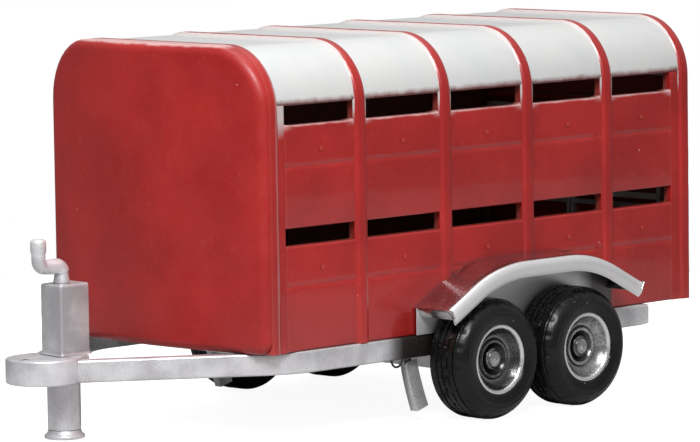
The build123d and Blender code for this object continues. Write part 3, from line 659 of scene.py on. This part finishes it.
# Round a hoop, as (distance from its middle, height above its crest).
RISE = [(10, 0.0), (20, -0.6), (27, -2.6), (31.5, -6.5), (34.5, -11), (39, -14.4), (47, -16.4)]
FOOT = [(47, -22), (32, -24), (32, -HOOP_DEPTH)]
FREE_EDGE = [(10, 0.0), (20, -0.4), (27, -2.2), (31, -6), (32.5, -12), (32.5, -HOOP_DEPTH)]
FLUSH_EDGE = [(10, 0.0), (32.5, 0.0), (32.5, -HOOP_DEPTH)]


def hoop_section(index):
    """(offset along y, height above the crest) round one hoop's section."""
    front = FLUSH_EDGE if index == 0 else RISE + FOOT
    back = FREE_EDGE if index == BAYS else RISE + FOOT
    return [(-y, d) for y, d in reversed(front)] + list(back)


def hoops():
    """Six cast arches with soft paint-filled flanks."""
    parts, flank, thin = [], [], []
    for index, line in enumerate(HOOP_LINES):
        section = hoop_section(index)
        misted = (index > 0, index < BAYS)
        rings = []
        for s, (x, z, nx, nz) in enumerate(arch_stations()):
            ring = []
            for offset, height in section:
                sway = 0.7 * wobble(index, s // 3) if height > -16 else 0.0
                ring.append(at(x + nx * height, line + offset + sway, z + nz * height))
                flank.append(min(1.0, abs(offset) / 47) if misted[offset > 0] else 0.0)
                # the strip on the first hoop's rear flank that takes the painted highlight line
                thin.append(1.0 if index == 0 and 19 < offset < 30 else 0.0)
            rings.append(ring)
        parts.append(loft(rings))
    made = piece("body_hoops", join(*parts), "hoop_paint", name="hoops")
    add_layer(made, "flank", flank)
    add_layer(made, "highlight_edge", thin)
    mark_inside(made)


def panel_profile(low, high, line, depth, lift):
    """(x, z) round one wall panel's section: rounded edges and a shallow pressed line."""
    outer = HOOP_OUTER - PANEL_INSET
    inner = HOOP_OUTER - HOOP_DEPTH
    return [
        (inner, low), (outer - 12, low), (outer - 6, low + 1), (outer - 2, low + 4), (outer, low + 11),
        (outer, line - 30), (outer, line - 4), (outer - depth, line - 1.5), (outer - depth, line + 1.5),
        (outer, line + 4), (outer, line + 30), (outer + lift * 0.1, high - 16 + lift * 0.6),
        (outer - 1 + lift * 0.1, high - 6 + lift), (outer - 5, high - 1 + lift), (outer - 12, high + lift),
        (inner, high + lift),
    ]


def side_panels(side_name, side, tier, low, high, line):
    """The five panels of one tier on one side."""
    parts, near = [], []
    for bay, (front, back) in enumerate(zip(HOOP_LINES, HOOP_LINES[1:])):
        rings = []
        start, end = front + HOOP_WIDTH / 2 - 2, back - HOOP_WIDTH / 2 + 2
        if bay == 0:
            start += FRONT_POST
        if bay == BAYS - 1:
            end -= REAR_POST
        for y in spread(start, end, 27):
            gap = min(y - start, end - y)
            close = max(0.0, 1 - gap / 70) ** 2
            depth = 1.6 + 0.5 * wobble(bay, round(y / 90), side + 3)
            lift = 9.0 * close if tier == "upper" else 3.0 * close
            profile = panel_profile(low, high, line, depth, lift)
            rings.append([at(x, y, z) for x, z in profile])
            near += [close ** 0.5] * len(profile)
        parts.append(mirrored(outward(loft(rings)), side))
    made = piece(f"side_panels_{tier}_{side_name}", join(*parts), "panel_paint")
    add_layer(made, "near_hoop", near)
    mark_inside(made)


def corner_posts():
    """The posts that close the slots beside the first and last hoops, flush with the panels."""
    inner, outer = HOOP_OUTER - HOOP_DEPTH, HOOP_OUTER - PANEL_INSET
    first, last = HOOP_LINES[0] + HOOP_WIDTH / 2, HOOP_LINES[-1] - HOOP_WIDTH / 2
    parts, at_front = [], []
    for front, back in ((first - 2, first + FRONT_POST), (last - REAR_POST, last + 2)):
        across, along = (outer - inner) / 2, (back - front) / 2
        rings = []
        for z in spread(BODY_BOTTOM, UPPER_SLOT[1] + 4, 30):
            corners = rounded_rectangle(across, along, 5)
            rings.append([at(inner + across + a, front + along + b, z) for a, b in corners])
        skin = loft(rings)
        parts += [mirrored(skin, side) for side in SIDES.values()]
        at_front += [1.0 if front < last / 2 else 0.0] * len(skin[0]) * len(SIDES)
    made = piece("corner_posts", join(*parts), "post_paint", name="corner_post_skins")
    add_layer(made, "front_post", at_front)
    mark_inside(made)


def roof_panels():
    """Five white skins between the hoops, each a little crowned, with a rolled lower edge."""
    stations = [s for s in arch_stations() if s[1] > UPPER_SLOT[1] + 12]
    first = (HOOP_OUTER, UPPER_SLOT[1] + 11, 1.0, 0.0)
    last = (-HOOP_OUTER, UPPER_SLOT[1] + 11, -1.0, 0.0)
    stations = [first] + stations + [last]
    lip = [(0.8, -3), (4, -9), (10, -11), (17, -9)]
    parts, inner = [], []
    for front, back in zip(HOOP_LINES, HOOP_LINES[1:]):
        rings = []
        start, end = front + HOOP_WIDTH / 2 - 2, back - HOOP_WIDTH / 2 + 2
        for y in spread(start, end, 21):
            across = (y - start) / (end - start)
            crown = 3.0 * sin(pi * across) ** 0.5
            ring = []
            for side, station in ((1, first), (-1, last)):
                edge = [(side * (station[0] * side - PANEL_INSET - d), station[1] + h) for d, h in lip]
                if side > 0:
                    ring += [at(x, y, z) for x, z in reversed(edge)]
                    for x, z, nx, nz in stations:
                        seam = 1.4 if abs(abs(x) - 560) < 14 and z > 2000 else 0.0
                        inset = -PANEL_INSET + crown + seam
                        ring.append(at(x + nx * inset, y, z + nz * inset))
                else:
                    ring += [at(x, y, z) for x, z in edge]
            inner += [0.0] * len(ring) + [1.0] * len(stations)
            for x, z, nx, nz in reversed(stations):
                inset = -PANEL_INSET - 17
                ring.append(at(x + nx * inset, y, z + nz * inset))
            rings.append(ring)
        parts.append(loft(rings))
    made = piece("roof_panels", join(*parts), "white_paint", name="roof_skins")
    add_layer(made, "buried", inner)


def cap_outline(inset, steps=10):
    """(x, z) round the front cap, with large shoulders and smaller lower corners, anticlockwise."""
    half = HOOP_OUTER - inset
    top, low = HOOP_TOP - inset, BODY_BOTTOM + inset
    shoulder, foot = HOOP_CORNER - inset, max(80 - inset, 4)
    points = []
    corners = (
        (half - shoulder, top - shoulder, shoulder, 0),
        (shoulder - half, top - shoulder, shoulder, 1),
        (foot - half, low + foot, foot, 2),
        (half - foot, low + foot, foot, 3),
    )
    for index, (x, z, radius, quarter) in enumerate(corners):
        for k in range(steps + 1):
            angle = pi / 2 * (quarter + k / steps)
            points.append((x + radius * cos(angle), z + radius * sin(angle)))
        x2, z2, radius2, quarter2 = corners[(index + 1) % 4]
        angle2 = pi / 2 * quarter2
        next_point = (x2 + radius2 * cos(angle2), z2 + radius2 * sin(angle2))
        run_x, run_z = points[-1]
        for share in (k / 10 for k in range(1, 10)):
            points.append((run_x + (next_point[0] - run_x) * share, run_z + (next_point[1] - run_z) * share))
    return points


def front_cap():
    """The smooth bowed front, with a large rounded edge all round it."""
    edge_radius, edge_depth, edge_drop, bow = 50.0, 42.0, 40.0, 95.0
    back = -HOOP_WIDTH / 2
    middle_z = 1250.0

    def face_y(x):
        return back - edge_depth - bow * (1 - (x / HOOP_OUTER) ** 2)

    rings = []
    outline = cap_outline(0)
    tucked = [(x * 0.993, z if z < middle_z else z - 6) for x, z in outline]
    rings.append([at(x, back, z) for x, z in tucked])
    rings.append([at(x, back, z) for x, z in outline])
    for share in (0.4, 0.8):
        rings.append([at(x, back + (face_y(x) + edge_drop - back) * share, z) for x, z in outline])
    for angle in spread(0, pi / 2, 12):
        inset = edge_radius * (1 - cos(angle))
        drop = edge_drop * (1 - sin(angle))
        rings.append([at(x, face_y(x) + drop, z) for x, z in cap_outline(inset)])
    rim = cap_outline(edge_radius)
    for share in (0.97, 0.9, 0.8, 0.65, 0.5, 0.35, 0.2, 0.08):
        ring = []
        for x, z in rim:
            x2, z2 = x * share, middle_z + (z - middle_z) * share
            ring.append(at(x2, face_y(x2), z2))
        rings.append(ring)
    piece("front_cap", outward(loft(rings)), "cap_paint", sharp=60)


# ---- chassis and drawbar ---------------------------------------------------------------------


RAIL_HALF_WIDTH = 40.0
RAIL_HALF_HEIGHT = 59.5
RAIL_Z = 422.5
# painted shade of the tyres and mudguards on the rails beside the wheels
RAIL_SHADE = 0.98
SHADE_AHEAD, FADE_AHEAD = 530.0, 110.0        # how far from the axles the rail's painted shade reaches
SHADE_BEHIND, FADE_BEHIND = 360.0, 80.0       # and over what length it then fades


def wheel_shade(y):
    """How dark the painted shade on the rails lies: 1 beside the wheels, fading out ahead of and behind
    them.
    """
    ahead = (AXLES["front"] - SHADE_AHEAD - y) / FADE_AHEAD
    behind = (y - AXLES["rear"] - SHADE_BEHIND) / FADE_BEHIND
    return 1.0 - min(1.0, max(0.0, ahead, behind))


def rail_path():
    """(x, y, heading) along the outer face of the right-hand rail, from the nose to the tail."""
    slope = radians(34.5)
    start_x, start_y = 758.0, 10.0
    radius = (HOOP_OUTER - start_x) / (1 - cos(slope))
    bend_x, bend_y = HOOP_OUTER - radius, start_y + radius * sin(slope)
    stations = []
    for back in spread(1060, 20, 30):
        stations.append((start_x - back * sin(slope), start_y - back * cos(slope), slope))
    for turn in spread(slope, 0, 10):
        stations.append((bend_x + radius * cos(turn), bend_y - radius * sin(turn), turn))
    stations += [(HOOP_OUTER, y, 0.0) for y in spread(bend_y + 60, RAIL_END, 44)]
    return stations


def frame_rails():
    """Two bent members with softly rounded edges and an uneven cast surface."""
    for side_name, side in SIDES.items():
        rings, dirt_and_shade = [], []
        path = rail_path()
        for s, (x, y, heading) in enumerate(path):
            taper = 4.0 if s in (0, len(path) - 1) else 0.0
            ring = []
            outline = rounded_rectangle(RAIL_HALF_WIDTH - taper, RAIL_HALF_HEIGHT - taper, 13)
            for k, (a, b) in enumerate(outline):
                rough = 0.5 * wobble(s, k // 3, side + 2)
                reach = a - RAIL_HALF_WIDTH + rough
                ring.append(at(x + reach * cos(heading), y - reach * sin(heading), RAIL_Z + b))
            rings.append(ring)
            # painted shadow of the wheels and mudguards along the rail
            dirt_and_shade += [RAIL_SHADE * wheel_shade(y)] * len(ring)
        skin = mirrored(outward(loft(rings)), side)
        made = piece(f"frame_rail_{side_name}", skin, "silver_paint", sharp=50)
        add_layer(made, "dirt_and_shade", dirt_and_shade)


def circle(centre_y, radius, count):
    """Evenly spaced (x, y) points round a circle on the centre line."""
    angles = spread(0, 2 * pi, count + 1)[:-1]
    return [(radius * cos(a), centre_y + radius * sin(a)) for a in angles]


def nose_plate():
    """A thick round plate with rounded edges, an eye in front and the jack's seat behind."""
    tail_half_width, tail_start, tail_sag = 110.0, 150.0, 10.0
    eye_radius, seat_radius = 33.0, 61.0
    curve = bpy.data.curves.new("nose_plate_outline", "CURVE")
    curve.dimensions = "2D"
    curve.fill_mode = "BOTH"
    bevel = 0.012
    outline = []
    for angle in spread(0, 2 * pi, 97)[:-1]:
        x, y = NOSE_RADIUS * sin(angle), NOSE_Y - NOSE_RADIUS * cos(angle)
        if y > NOSE_Y + tail_start and abs(x) < tail_half_width:
            y = max(y, NOSE_HIGH[1] - tail_sag * (abs(x) / tail_half_width) ** 6)
        outline.append((x, y))
    for loop in (outline, circle(EYE_Y, eye_radius, 40), circle(JACK_Y, seat_radius, 40)):
        spline = curve.splines.new("POLY")
        spline.points.add(len(loop) - 1)
        for point, (x, y) in zip(spline.points, loop):
            place = at(x, y, 0)
            point.co = (place.x, place.y, 0, 1)
        spline.use_cyclic_u = True
    curve.extrude = (NOSE_HIGH[2] - NOSE_LOW[2]) / 2000 - bevel
    curve.bevel_depth = bevel
    curve.bevel_resolution = 4
    curve.offset = -bevel
    source = add_to_scene("nose_plate_curve", curve)
    depsgraph = bpy.context.evaluated_depsgraph_get()
    mesh = bpy.data.meshes.new_from_object(source.evaluated_get(depsgraph))
    bpy.data.objects.remove(source)
    verts = [v.co + Vector((0, 0, middle("nose_plate", 2) / 1000)) for v in mesh.vertices]
    faces = [tuple(p.vertices) for p in mesh.polygons]
    piece("nose_plate", (verts, faces), "cast_silver", sharp=35)


def jack_housing():
    """The square housing, slightly tapered, with a lumpy weld round its foot."""
    half_width, half_length, corner = 82.5, 100.0, 12.0
    rings = []
    centre_y = middle("jack_housing", 1)
    # Each level is its height, how far it swells, and whether the weld makes it lumpy.
    levels = [(494, 9, 0), (499, 8, 1), (506, 4, 1), (513, 1, 0)]
    levels += [(z, 0, 0) for z in spread(530, 855, 12)] + [(866, -1, 0), (870, -4, 0), (872, -9, 0)]
    for s, (z, swell, lumpy) in enumerate(levels):
        outline = rounded_rectangle(half_width + swell, half_length + swell, corner + max(swell, 0))
        ring = []
        for k, (a, b) in enumerate(outline):
            rough = 0.6 * wobble(s, k // 2) + (5.0 * wobble(k, s) if lumpy else 0.0)
            size = hypot(a, b)
            ring.append(at(a * (1 + rough / size), centre_y + b * (1 + rough / size), z))
        rings.append(ring)
    piece("jack_housing", loft(rings), "jack_silver")


def jack_sleeve():
    """The eight-sided sleeve, with softened corners."""
    half_width, eighth = 87.0, pi / 8
    levels = [(98, 6), (100, 2), (105, 0)] + [(z, 0) for z in spread(130, 340, 8)] + [(NOSE_LOW[2], 0)]
    rings = []
    for z, inset in levels:
        flat = half_width - inset
        beside, blunted = flat / cos(0.13 - eighth), flat / cos(eighth) - 2.5
        ring = []
        for k in range(8):
            for nudge, edge in ((-0.13, beside), (0.0, blunted), (0.13, beside)):
                angle = pi / 4 * (k + 0.5) + nudge
                ring.append(at(edge * cos(angle), JACK_Y + edge * sin(angle), z))
        rings.append(ring)
    piece("jack_sleeve", loft(rings), "cast_silver", sharp=30)


def jack_foot():
    """The flared foot."""
    profile = [(2, 52), (100, 52), (105, 54), (107, 58), (107, 68), (104, 72), (96, 77), (91, 84),
               (89, 92), (87, 96.5), (62, 97), (2, 97)]
    skin = outward(upright_lathe(profile, 0, JACK_Y))
    piece("jack_foot", skin, "cast_silver", "jack_inner")


def tube(path, radii, segments=32):
    """A round skin along a path in the x = 0 plane, given as (y, z) points."""
    rings = []
    for i, point in enumerate(path):
        ahead = path[min(i + 1, len(path) - 1)]
        behind = path[max(i - 1, 0)]
        run = (ahead - behind).normalized()
        side = Vector((-run.y, run.x))
        ring = []
        for k in range(segments):
            angle = 2 * pi * k / segments
            sway = radii[i] * sin(angle)
            ring.append(at(radii[i] * cos(angle), point.x + side.x * sway, point.y + side.y * sway))
        rings.append(ring)
    return loft(rings)


def jack_crank():
    """The stout cranked arm and its upright grip."""
    grip_y = middle("crank_grip", 1)
    path = smooth_path([(JACK_Y, 874), (JACK_Y, 962), (grip_y, 966), (grip_y, 1040)], 38, steps=12)
    path.insert(1, Vector((JACK_Y, 884)))
    path.insert(2, Vector((JACK_Y, 900)))
    radii = [45, 44, 40] + [37.0] * (len(path) - 3)
    for i, point in enumerate(path):
        if abs(point.x - JACK_Y) < 60 and point.y > 930:
            radii[i] = 42.0
    arm = outward(tube(path, radii))
    piece("jack_crank", arm, "cast_silver", "jack_drive", sharp=60)
    profile = [(3, 1036), (37, 1036), (40, 1044), (42, 1060), (42, 1098), (39, 1108), (31, 1114),
               (20, 1112), (12, 1107), (3, 1106)]
    grip = outward(upright_lathe(profile, 0, grip_y))
    piece("crank_grip", grip, "cast_silver", "jack_drive", sharp=60)


# ---- wheels ----------------------------------------------------------------------------------


# Wheel sections, as (distance out from the wheel's middle, radius).
TYRE_SIDE = [(103, 190), (109, 191), (113, 196), (116, 206), (120, 220), (123.5, 238), (124.5, 250),
             (123.0, 259), (124.0, 261), (124.0, 266), (121.5, 269), (117, 279), (110, 290),
             (101, 300), (90, 309), (78, 317), (70, 321.5), (68, 321)]
TYRE_BACK = [(-70, 331), (-98, 330), (-112, 325), (-120, 314), (-123, 296), (-124, 262), (-121, 226),
             (-116, 205), (-109, 191), (-103, 190)]
TREAD = [(66, 323), (63, 325), (61, 318), (56, 318), (53, 328.5), (27, 331.2), (24, 324), (19, 324),
         (16, 331.8)]


def tyre_profile():
    """(offset, radius) round a tyre's section, outer side first; the inner side is squarer."""
    inner_tread = [(-x, r) for x, r in reversed(TREAD)]
    return TYRE_SIDE + TREAD + inner_tread + TYRE_BACK


def tread_blocks(k, offset, radius):
    """Cuts shallow cross grooves into the tread's shoulders and staggered ones in its middle."""
    turn = k % 8
    shoulder = 64 <= abs(offset) <= 92 and turn in (0, 1)
    centre = abs(offset) < 17 and turn in (3, 4)
    return radius - 5.0 if shoulder or centre else radius


RIM_PROFILE = [
    (95, 190), (100, 191), (105.5, 190), (107.5, 186), (107.5, 180), (105, 174), (100, 170), (92, 166),
    (74, 154), (56, 136), (47, 122), (47, 116), (52, 111), (58, 107.5), (60.5, 100), (59, 91),
    (54, 86), (46, 82), (40, 74), (34, 68), (32, 62), (30, 62), (30, 98), (36, 120), (78, 169),
    (-97, 169), (-103, 178), (-103, 189), (-95, 190),
]
HUB_PROFILE = [
    (-50, 21), (-50, 60), (16, 60), (16, 96), (30, 96), (30, 61.5), (48, 61), (53, 59), (56, 55),
    (58, 50), (65, 46), (71, 38), (75, 27), (78, 14), (79, 3), (40, 3), (40, 21),
]


def wheels():
    """Tyre, rim and hub at each of the four wheels; the front rims take more painted shade."""
    ring_offset, ring_radius = 99.0, 169.0
    on_bright_ring = [
        1.0 if offset > ring_offset and radius > ring_radius else 0.0 for offset, radius in RIM_PROFILE
    ]
    for axle, y in AXLES.items():
        for side_name, side in SIDES.items():
            place = f"{axle}_{side_name}"
            body = f"wheel_{place}"
            tyre = mirrored(lathe(tyre_profile(), WHEEL_CENTRE, y, WHEEL_Z, 160, tread_blocks), side)
            rim = mirrored(lathe(RIM_PROFILE, WHEEL_CENTRE, y, WHEEL_Z), side)
            hub = mirrored(lathe(HUB_PROFILE, WHEEL_CENTRE, y, WHEEL_Z, 64), side)
            piece(f"tyre_{place}", tyre, "tyre_rubber", body, sharp=50)
            made = piece(f"rim_{place}", rim, "rim_silver", body, sharp=50)
            piece(f"hub_{place}", hub, "rim_silver", body, sharp=50)
            add_layer(made, "ring", on_bright_ring * (len(rim[0]) // len(RIM_PROFILE)))
            # the front rims take more painted shade in the dish
            add_layer(made, "extra_shade", [1.0 if axle == "front" else 0.0] * len(rim[0]))


# ---- mudguards and stands --------------------------------------------------------------------


# Round the guard, as (distance from its outer edge, distance in from its outer line).
GUARD_SECTION = [
    (-283, 0), (-240, 0), (-140, 0), (-60, 0), (-42, 1.0), (-29, 4.0), (-19, 9), (-11, 17),
    (-5, 28), (-1, 41), (0, 53), (-1.5, 65), (-5, 77), (-10, 87), (-15, 94), (-20, 94),
    (-21, 84), (-16, 60), (-19, 34), (-28, 20), (-42, 12), (-283, 11),
]
GUARD_UNDERSIDE = 10         # the section's points from here on face the wheels
GUARD_LIP = 20.0             # width of the soft outer lip
GUARD_CORNER = 850.0
GUARD_END_HALF = 30.0        # half the height of the plates that close its ends
TAIL_START, TAIL_FADE, TAIL_SHADE = 190.0, 120.0, 0.9


def guard_stations():
    """(y, z, inward y, inward z) along the mudguard's outer line."""
    path = smooth_path(GUARD_LINE, GUARD_CORNER, steps=24)
    dense = []
    for a, b in zip(path, path[1:]):
        parts = max(1, round((b - a).length / 60))
        dense += [a + (b - a) * k / parts for k in range(parts)]
    dense.append(path[-1])
    stations = []
    for i, point in enumerate(dense):
        run = (dense[min(i + 1, len(dense) - 1)] - dense[max(i - 1, 0)]).normalized()
        stations.append((point.x, point.y, run.y, -run.x))
    return stations


def guard_skin(stations):
    """The guard's section carried along its line."""
    rings = []
    for y, z, in_y, in_z in stations:
        rings.append([at(GUARD_OUTER + x, y + in_y * n, z + in_z * n) for x, n in GUARD_SECTION])
    return loft(rings)


def guard_back_plate(stations):
    """The thin plate that stands against the body's side."""
    rings = []
    for y, z, _, _ in stations:
        top, low = z - 3, BODY_BOTTOM + 2
        outline = ((0, top), (5, top), (5, low + 2), (3, low), (0, low))
        rings.append([at(HOOP_OUTER + x, y, height) for x, height in outline])
    return loft(rings)


def guard_end(station, sign):
    """The plate that closes one end of the guard."""
    y, z, in_y, in_z = station
    run_y, run_z = -in_z * sign, in_y * sign
    half = (GUARD_OUTER - HOOP_OUTER) / 2
    rings = []
    for along, trim in ((0.0, 1.5), (1.5, 0.0), (8.5, 0.0), (10.0, 1.5)):
        ring = []
        for a, b in rounded_rectangle(half - trim, GUARD_END_HALF - trim, 9):
            down = GUARD_END_HALF + b
            plate_y = y + in_y * down + run_y * along
            plate_z = z + in_z * down + run_z * along
            ring.append(at(HOOP_OUTER + half + a, plate_y, plate_z))
        rings.append(ring)
    return loft(rings) if sign < 0 else outward(loft(rings))


def guard_layers(verts, skin_count, plate_count):
    """The guard's two layers: 1 on its soft lip and back plate, and painted shade inside its tail."""
    lip, dirt_and_shade = [], []
    for i, vertex in enumerate(verts):
        on_skin = i < skin_count
        on_plate = skin_count <= i < skin_count + plate_count
        on_lip = on_skin and abs(vertex.x) * 1000 > GUARD_OUTER - GUARD_LIP
        underneath = on_skin and not on_lip and i % len(GUARD_SECTION) >= GUARD_UNDERSIDE
        tail = (vertex.y * 1000 - ORIGIN_Y - AXLES["rear"] - TAIL_START) / TAIL_FADE
        lip.append(1.0 if on_lip or on_plate else 0.0)
        # painted shade on the underside and back plate towards the rear
        dirt_and_shade.append(TAIL_SHADE * min(1.0, max(0.0, tail)) if underneath or on_plate else 0.0)
    return lip, dirt_and_shade


def mudguards():
    """Long guards with a rolled outer edge, a hollowed lip, a back plate and closed ends."""
    stations = guard_stations()
    arch, plate = guard_skin(stations), guard_back_plate(stations)
    whole = join(arch, plate, guard_end(stations[0], 1), guard_end(stations[-1], -1))
    for side_name, side in SIDES.items():
        verts, faces = mirrored(whole, side)
        lip, dirt_and_shade = guard_layers(verts, len(arch[0]), len(plate[0]))
        skin = (verts, faces)
        made = piece(f"mudguard_{side_name}", skin, "guard_silver", sharp=45)
        add_layer(made, "lip", lip)
        add_layer(made, "dirt_and_shade", dirt_and_shade)


def prop_stands():
    """Slightly curved channels that hang from the rails."""
    section = [(-27, -13), (-24, -15), (24, -15), (27, -13), (27, 72), (25, 76), (22, 72), (21, -8),
               (-21, -8), (-22, 72), (-25, 76), (-27, 72)]
    low, high = drawn_box("prop_stand_right")
    centre_x = (low[0] + high[0]) / 2
    pivot_y, pivot_z = middle("prop_brackets", 1), 330.0
    for side_name, side in SIDES.items():
        rings = []
        for share in spread(0, 1, 14):
            y = pivot_y + 12 + 80 * share ** 1.3
            z = pivot_z + 12 - (pivot_z + 8 - low[2]) * share
            ring = []
            width, tilt = 0.86 + 0.14 * share, 0.10 + 0.18 * share
            for x, depth in section:
                ring.append(at(centre_x + x * width, y + depth * 0.96, z + depth * tilt))
            rings.append(ring)
        stand = mirrored(loft(rings), side)
        piece(f"prop_stand_{side_name}", stand, "silver_paint", f"prop_{side_name}")


# ---- carried-over CAD nodes ------------------------------------------------------------------


CAD_LOOKS = {
    "cross_members": ("silver_paint", 2.0),
    "towing_eye_bush": ("bright_steel", 2.0),
    "floor_boards": ("boards", 2.0),
    "jack_leg": ("bright_steel", 1.0),
    "jack_nut": ("bright_steel", 1.0),
    "jack_screw": ("bright_steel", 1.0),
    "axle_beams": ("silver_paint", 4.0),
    "panel_studs": ("red_paint", 2.0),
    "rear_sill": ("red_paint", 3.0),
    "ramp_pins": ("bright_steel", 1.5),
    "ramp_door": ("red_paint", 5.0),
    "ramp_treads": ("dull_aluminium", 3.0),
    "latch_keepers": ("bright_steel", 1.5),
    "rear_lamps": ("lamp_lens", 4.0),
    "number_plate": ("yellow_plate", 1.0),
    "gate_brackets": ("bright_steel", 1.5),
    "prop_brackets": ("silver_paint", 2.0),
    "cable_loop": ("plain_rubber", 0.0),
    "ramp_latch": ("bright_steel", 2.0),
    "gate": ("dull_aluminium", 3.0),
    "vent_shutter": ("dark_sheet", 1.0),
    "suspension_arm": ("silver_paint", 3.0),
}


def dress_cad_nodes():
    """Give each CAD node that is still shown its material and softened edges."""
    for name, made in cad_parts.items():
        family = next((k for k in sorted(CAD_LOOKS, key=len, reverse=True) if name.startswith(k)), None)
        if family is None:
            continue
        look, bevel = CAD_LOOKS[family]
        made.data.materials.clear()
        made.data.materials.append(MATERIALS[look])
        if bevel:
            soften = made.modifiers.new("soft_edges", "BEVEL")
            soften.width = bevel / 1000
            soften.segments = 3
            soften.limit_method = "ANGLE"
            soften.angle_limit = radians(35)
            soften.harden_normals = True


# ---- studio ----------------------------------------------------------------------------------


def area_light(name, place, aim, size, power):
    light = bpy.data.lights.new(name, "AREA")
    light.shape = "RECTANGLE"
    light.size, light.size_y = size
    light.energy = power
    made = add_to_scene(name, light)
    made.location = place
    made.rotation_euler = (Vector(aim) - Vector(place)).to_track_quat("-Z", "Y").to_euler()


def studio_world():
    """White to the camera; for everything else a softer surround, brightest overhead."""
    world = bpy.data.worlds.new("studio")
    world.use_nodes = True
    tree = world.node_tree
    seen = tree.nodes["Background"]
    seen.inputs["Color"].default_value = (1.0, 1.0, 1.0, 1.0)
    seen.inputs["Strength"].default_value = 1.0
    around = tree.nodes.new("ShaderNodeBackground")
    direction = tree.nodes.new("ShaderNodeTexCoord").outputs["Generated"]
    split = tree.nodes.new("ShaderNodeSeparateXYZ")
    tree.links.new(direction, split.inputs["Vector"])
    rise = tree.nodes.new("ShaderNodeMapRange")
    for socket, value in (("From Min", -0.15), ("From Max", 0.7), ("To Min", 0.20), ("To Max", 0.62)):
        rise.inputs[socket].default_value = value
    tree.links.new(split.outputs["Z"], rise.inputs["Value"])
    tree.links.new(rise.outputs["Result"], around.inputs["Strength"])
    choice = tree.nodes.new("ShaderNodeMixShader")
    camera_ray = tree.nodes.new("ShaderNodeLightPath").outputs["Is Camera Ray"]
    tree.links.new(camera_ray, choice.inputs["Fac"])
    tree.links.new(around.outputs["Background"], choice.inputs[1])
    tree.links.new(seen.outputs["Background"], choice.inputs[2])
    tree.links.new(choice.outputs["Shader"], tree.nodes["World Output"].inputs["Surface"])
    bpy.context.scene.world = world


def studio():
    """A round pale floor, a white surround and soft boxes."""
    rim = 7.0
    outline = [(x, y, 0) for x, y in circle(0, rim, 96)]
    mesh = bpy.data.meshes.new("floor")
    mesh.from_pydata(outline, [], [tuple(range(len(outline)))])
    mesh.materials.append(floor_paint())
    add_to_scene("floor", mesh)
    studio_world()
    area_light("key", (6.5, -6.5, 9.5), (0, 0, 1.0), (5, 5), 1350)
    area_light("top", (0, 0.5, 9.0), (0, 0.5, 1.0), (6, 8), 260)
    bpy.context.scene.view_settings.view_transform = "Standard"


def camera():
    """The photograph's viewing angle: a long lens, 45 degrees round from the front, a little high."""
    azimuth, elevation, roll = radians(45.05), radians(5.79), radians(-0.81)
    aim, distance = at(-34, 1650, 975), 26.58
    back = Vector((
        sin(azimuth) * cos(elevation),
        -cos(azimuth) * cos(elevation),
        sin(elevation),
    ))
    right = Vector((cos(azimuth), sin(azimuth), 0))
    up = back.cross(right)
    turned_right = right * cos(roll) + up * sin(roll)
    turned_up = back.cross(turned_right)
    data = bpy.data.cameras.new("camera")
    data.lens = 243.5
    data.sensor_width = 36.0
    data.shift_x, data.shift_y = -0.0428, 0.0071
    data.clip_end = 200.0
    made = add_to_scene("camera", data)
    axes = Matrix((turned_right, turned_up, back)).transposed()
    made.matrix_world = Matrix.Translation(aim + back * distance) @ axes.to_4x4()
    bpy.context.scene.camera = made


hoops()
for side_name, side in SIDES.items():
    side_panels(side_name, side, "lower", BODY_BOTTOM, LOWER_SLOT[0], PANEL_LINES[0])
    side_panels(side_name, side, "upper", LOWER_SLOT[1], UPPER_SLOT[0], PANEL_LINES[1])
corner_posts()
roof_panels()
front_cap()
frame_rails()
nose_plate()
jack_housing()
jack_sleeve()
jack_foot()
jack_crank()
wheels()
mudguards()
prop_stands()
dress_cad_nodes()
studio()
camera()
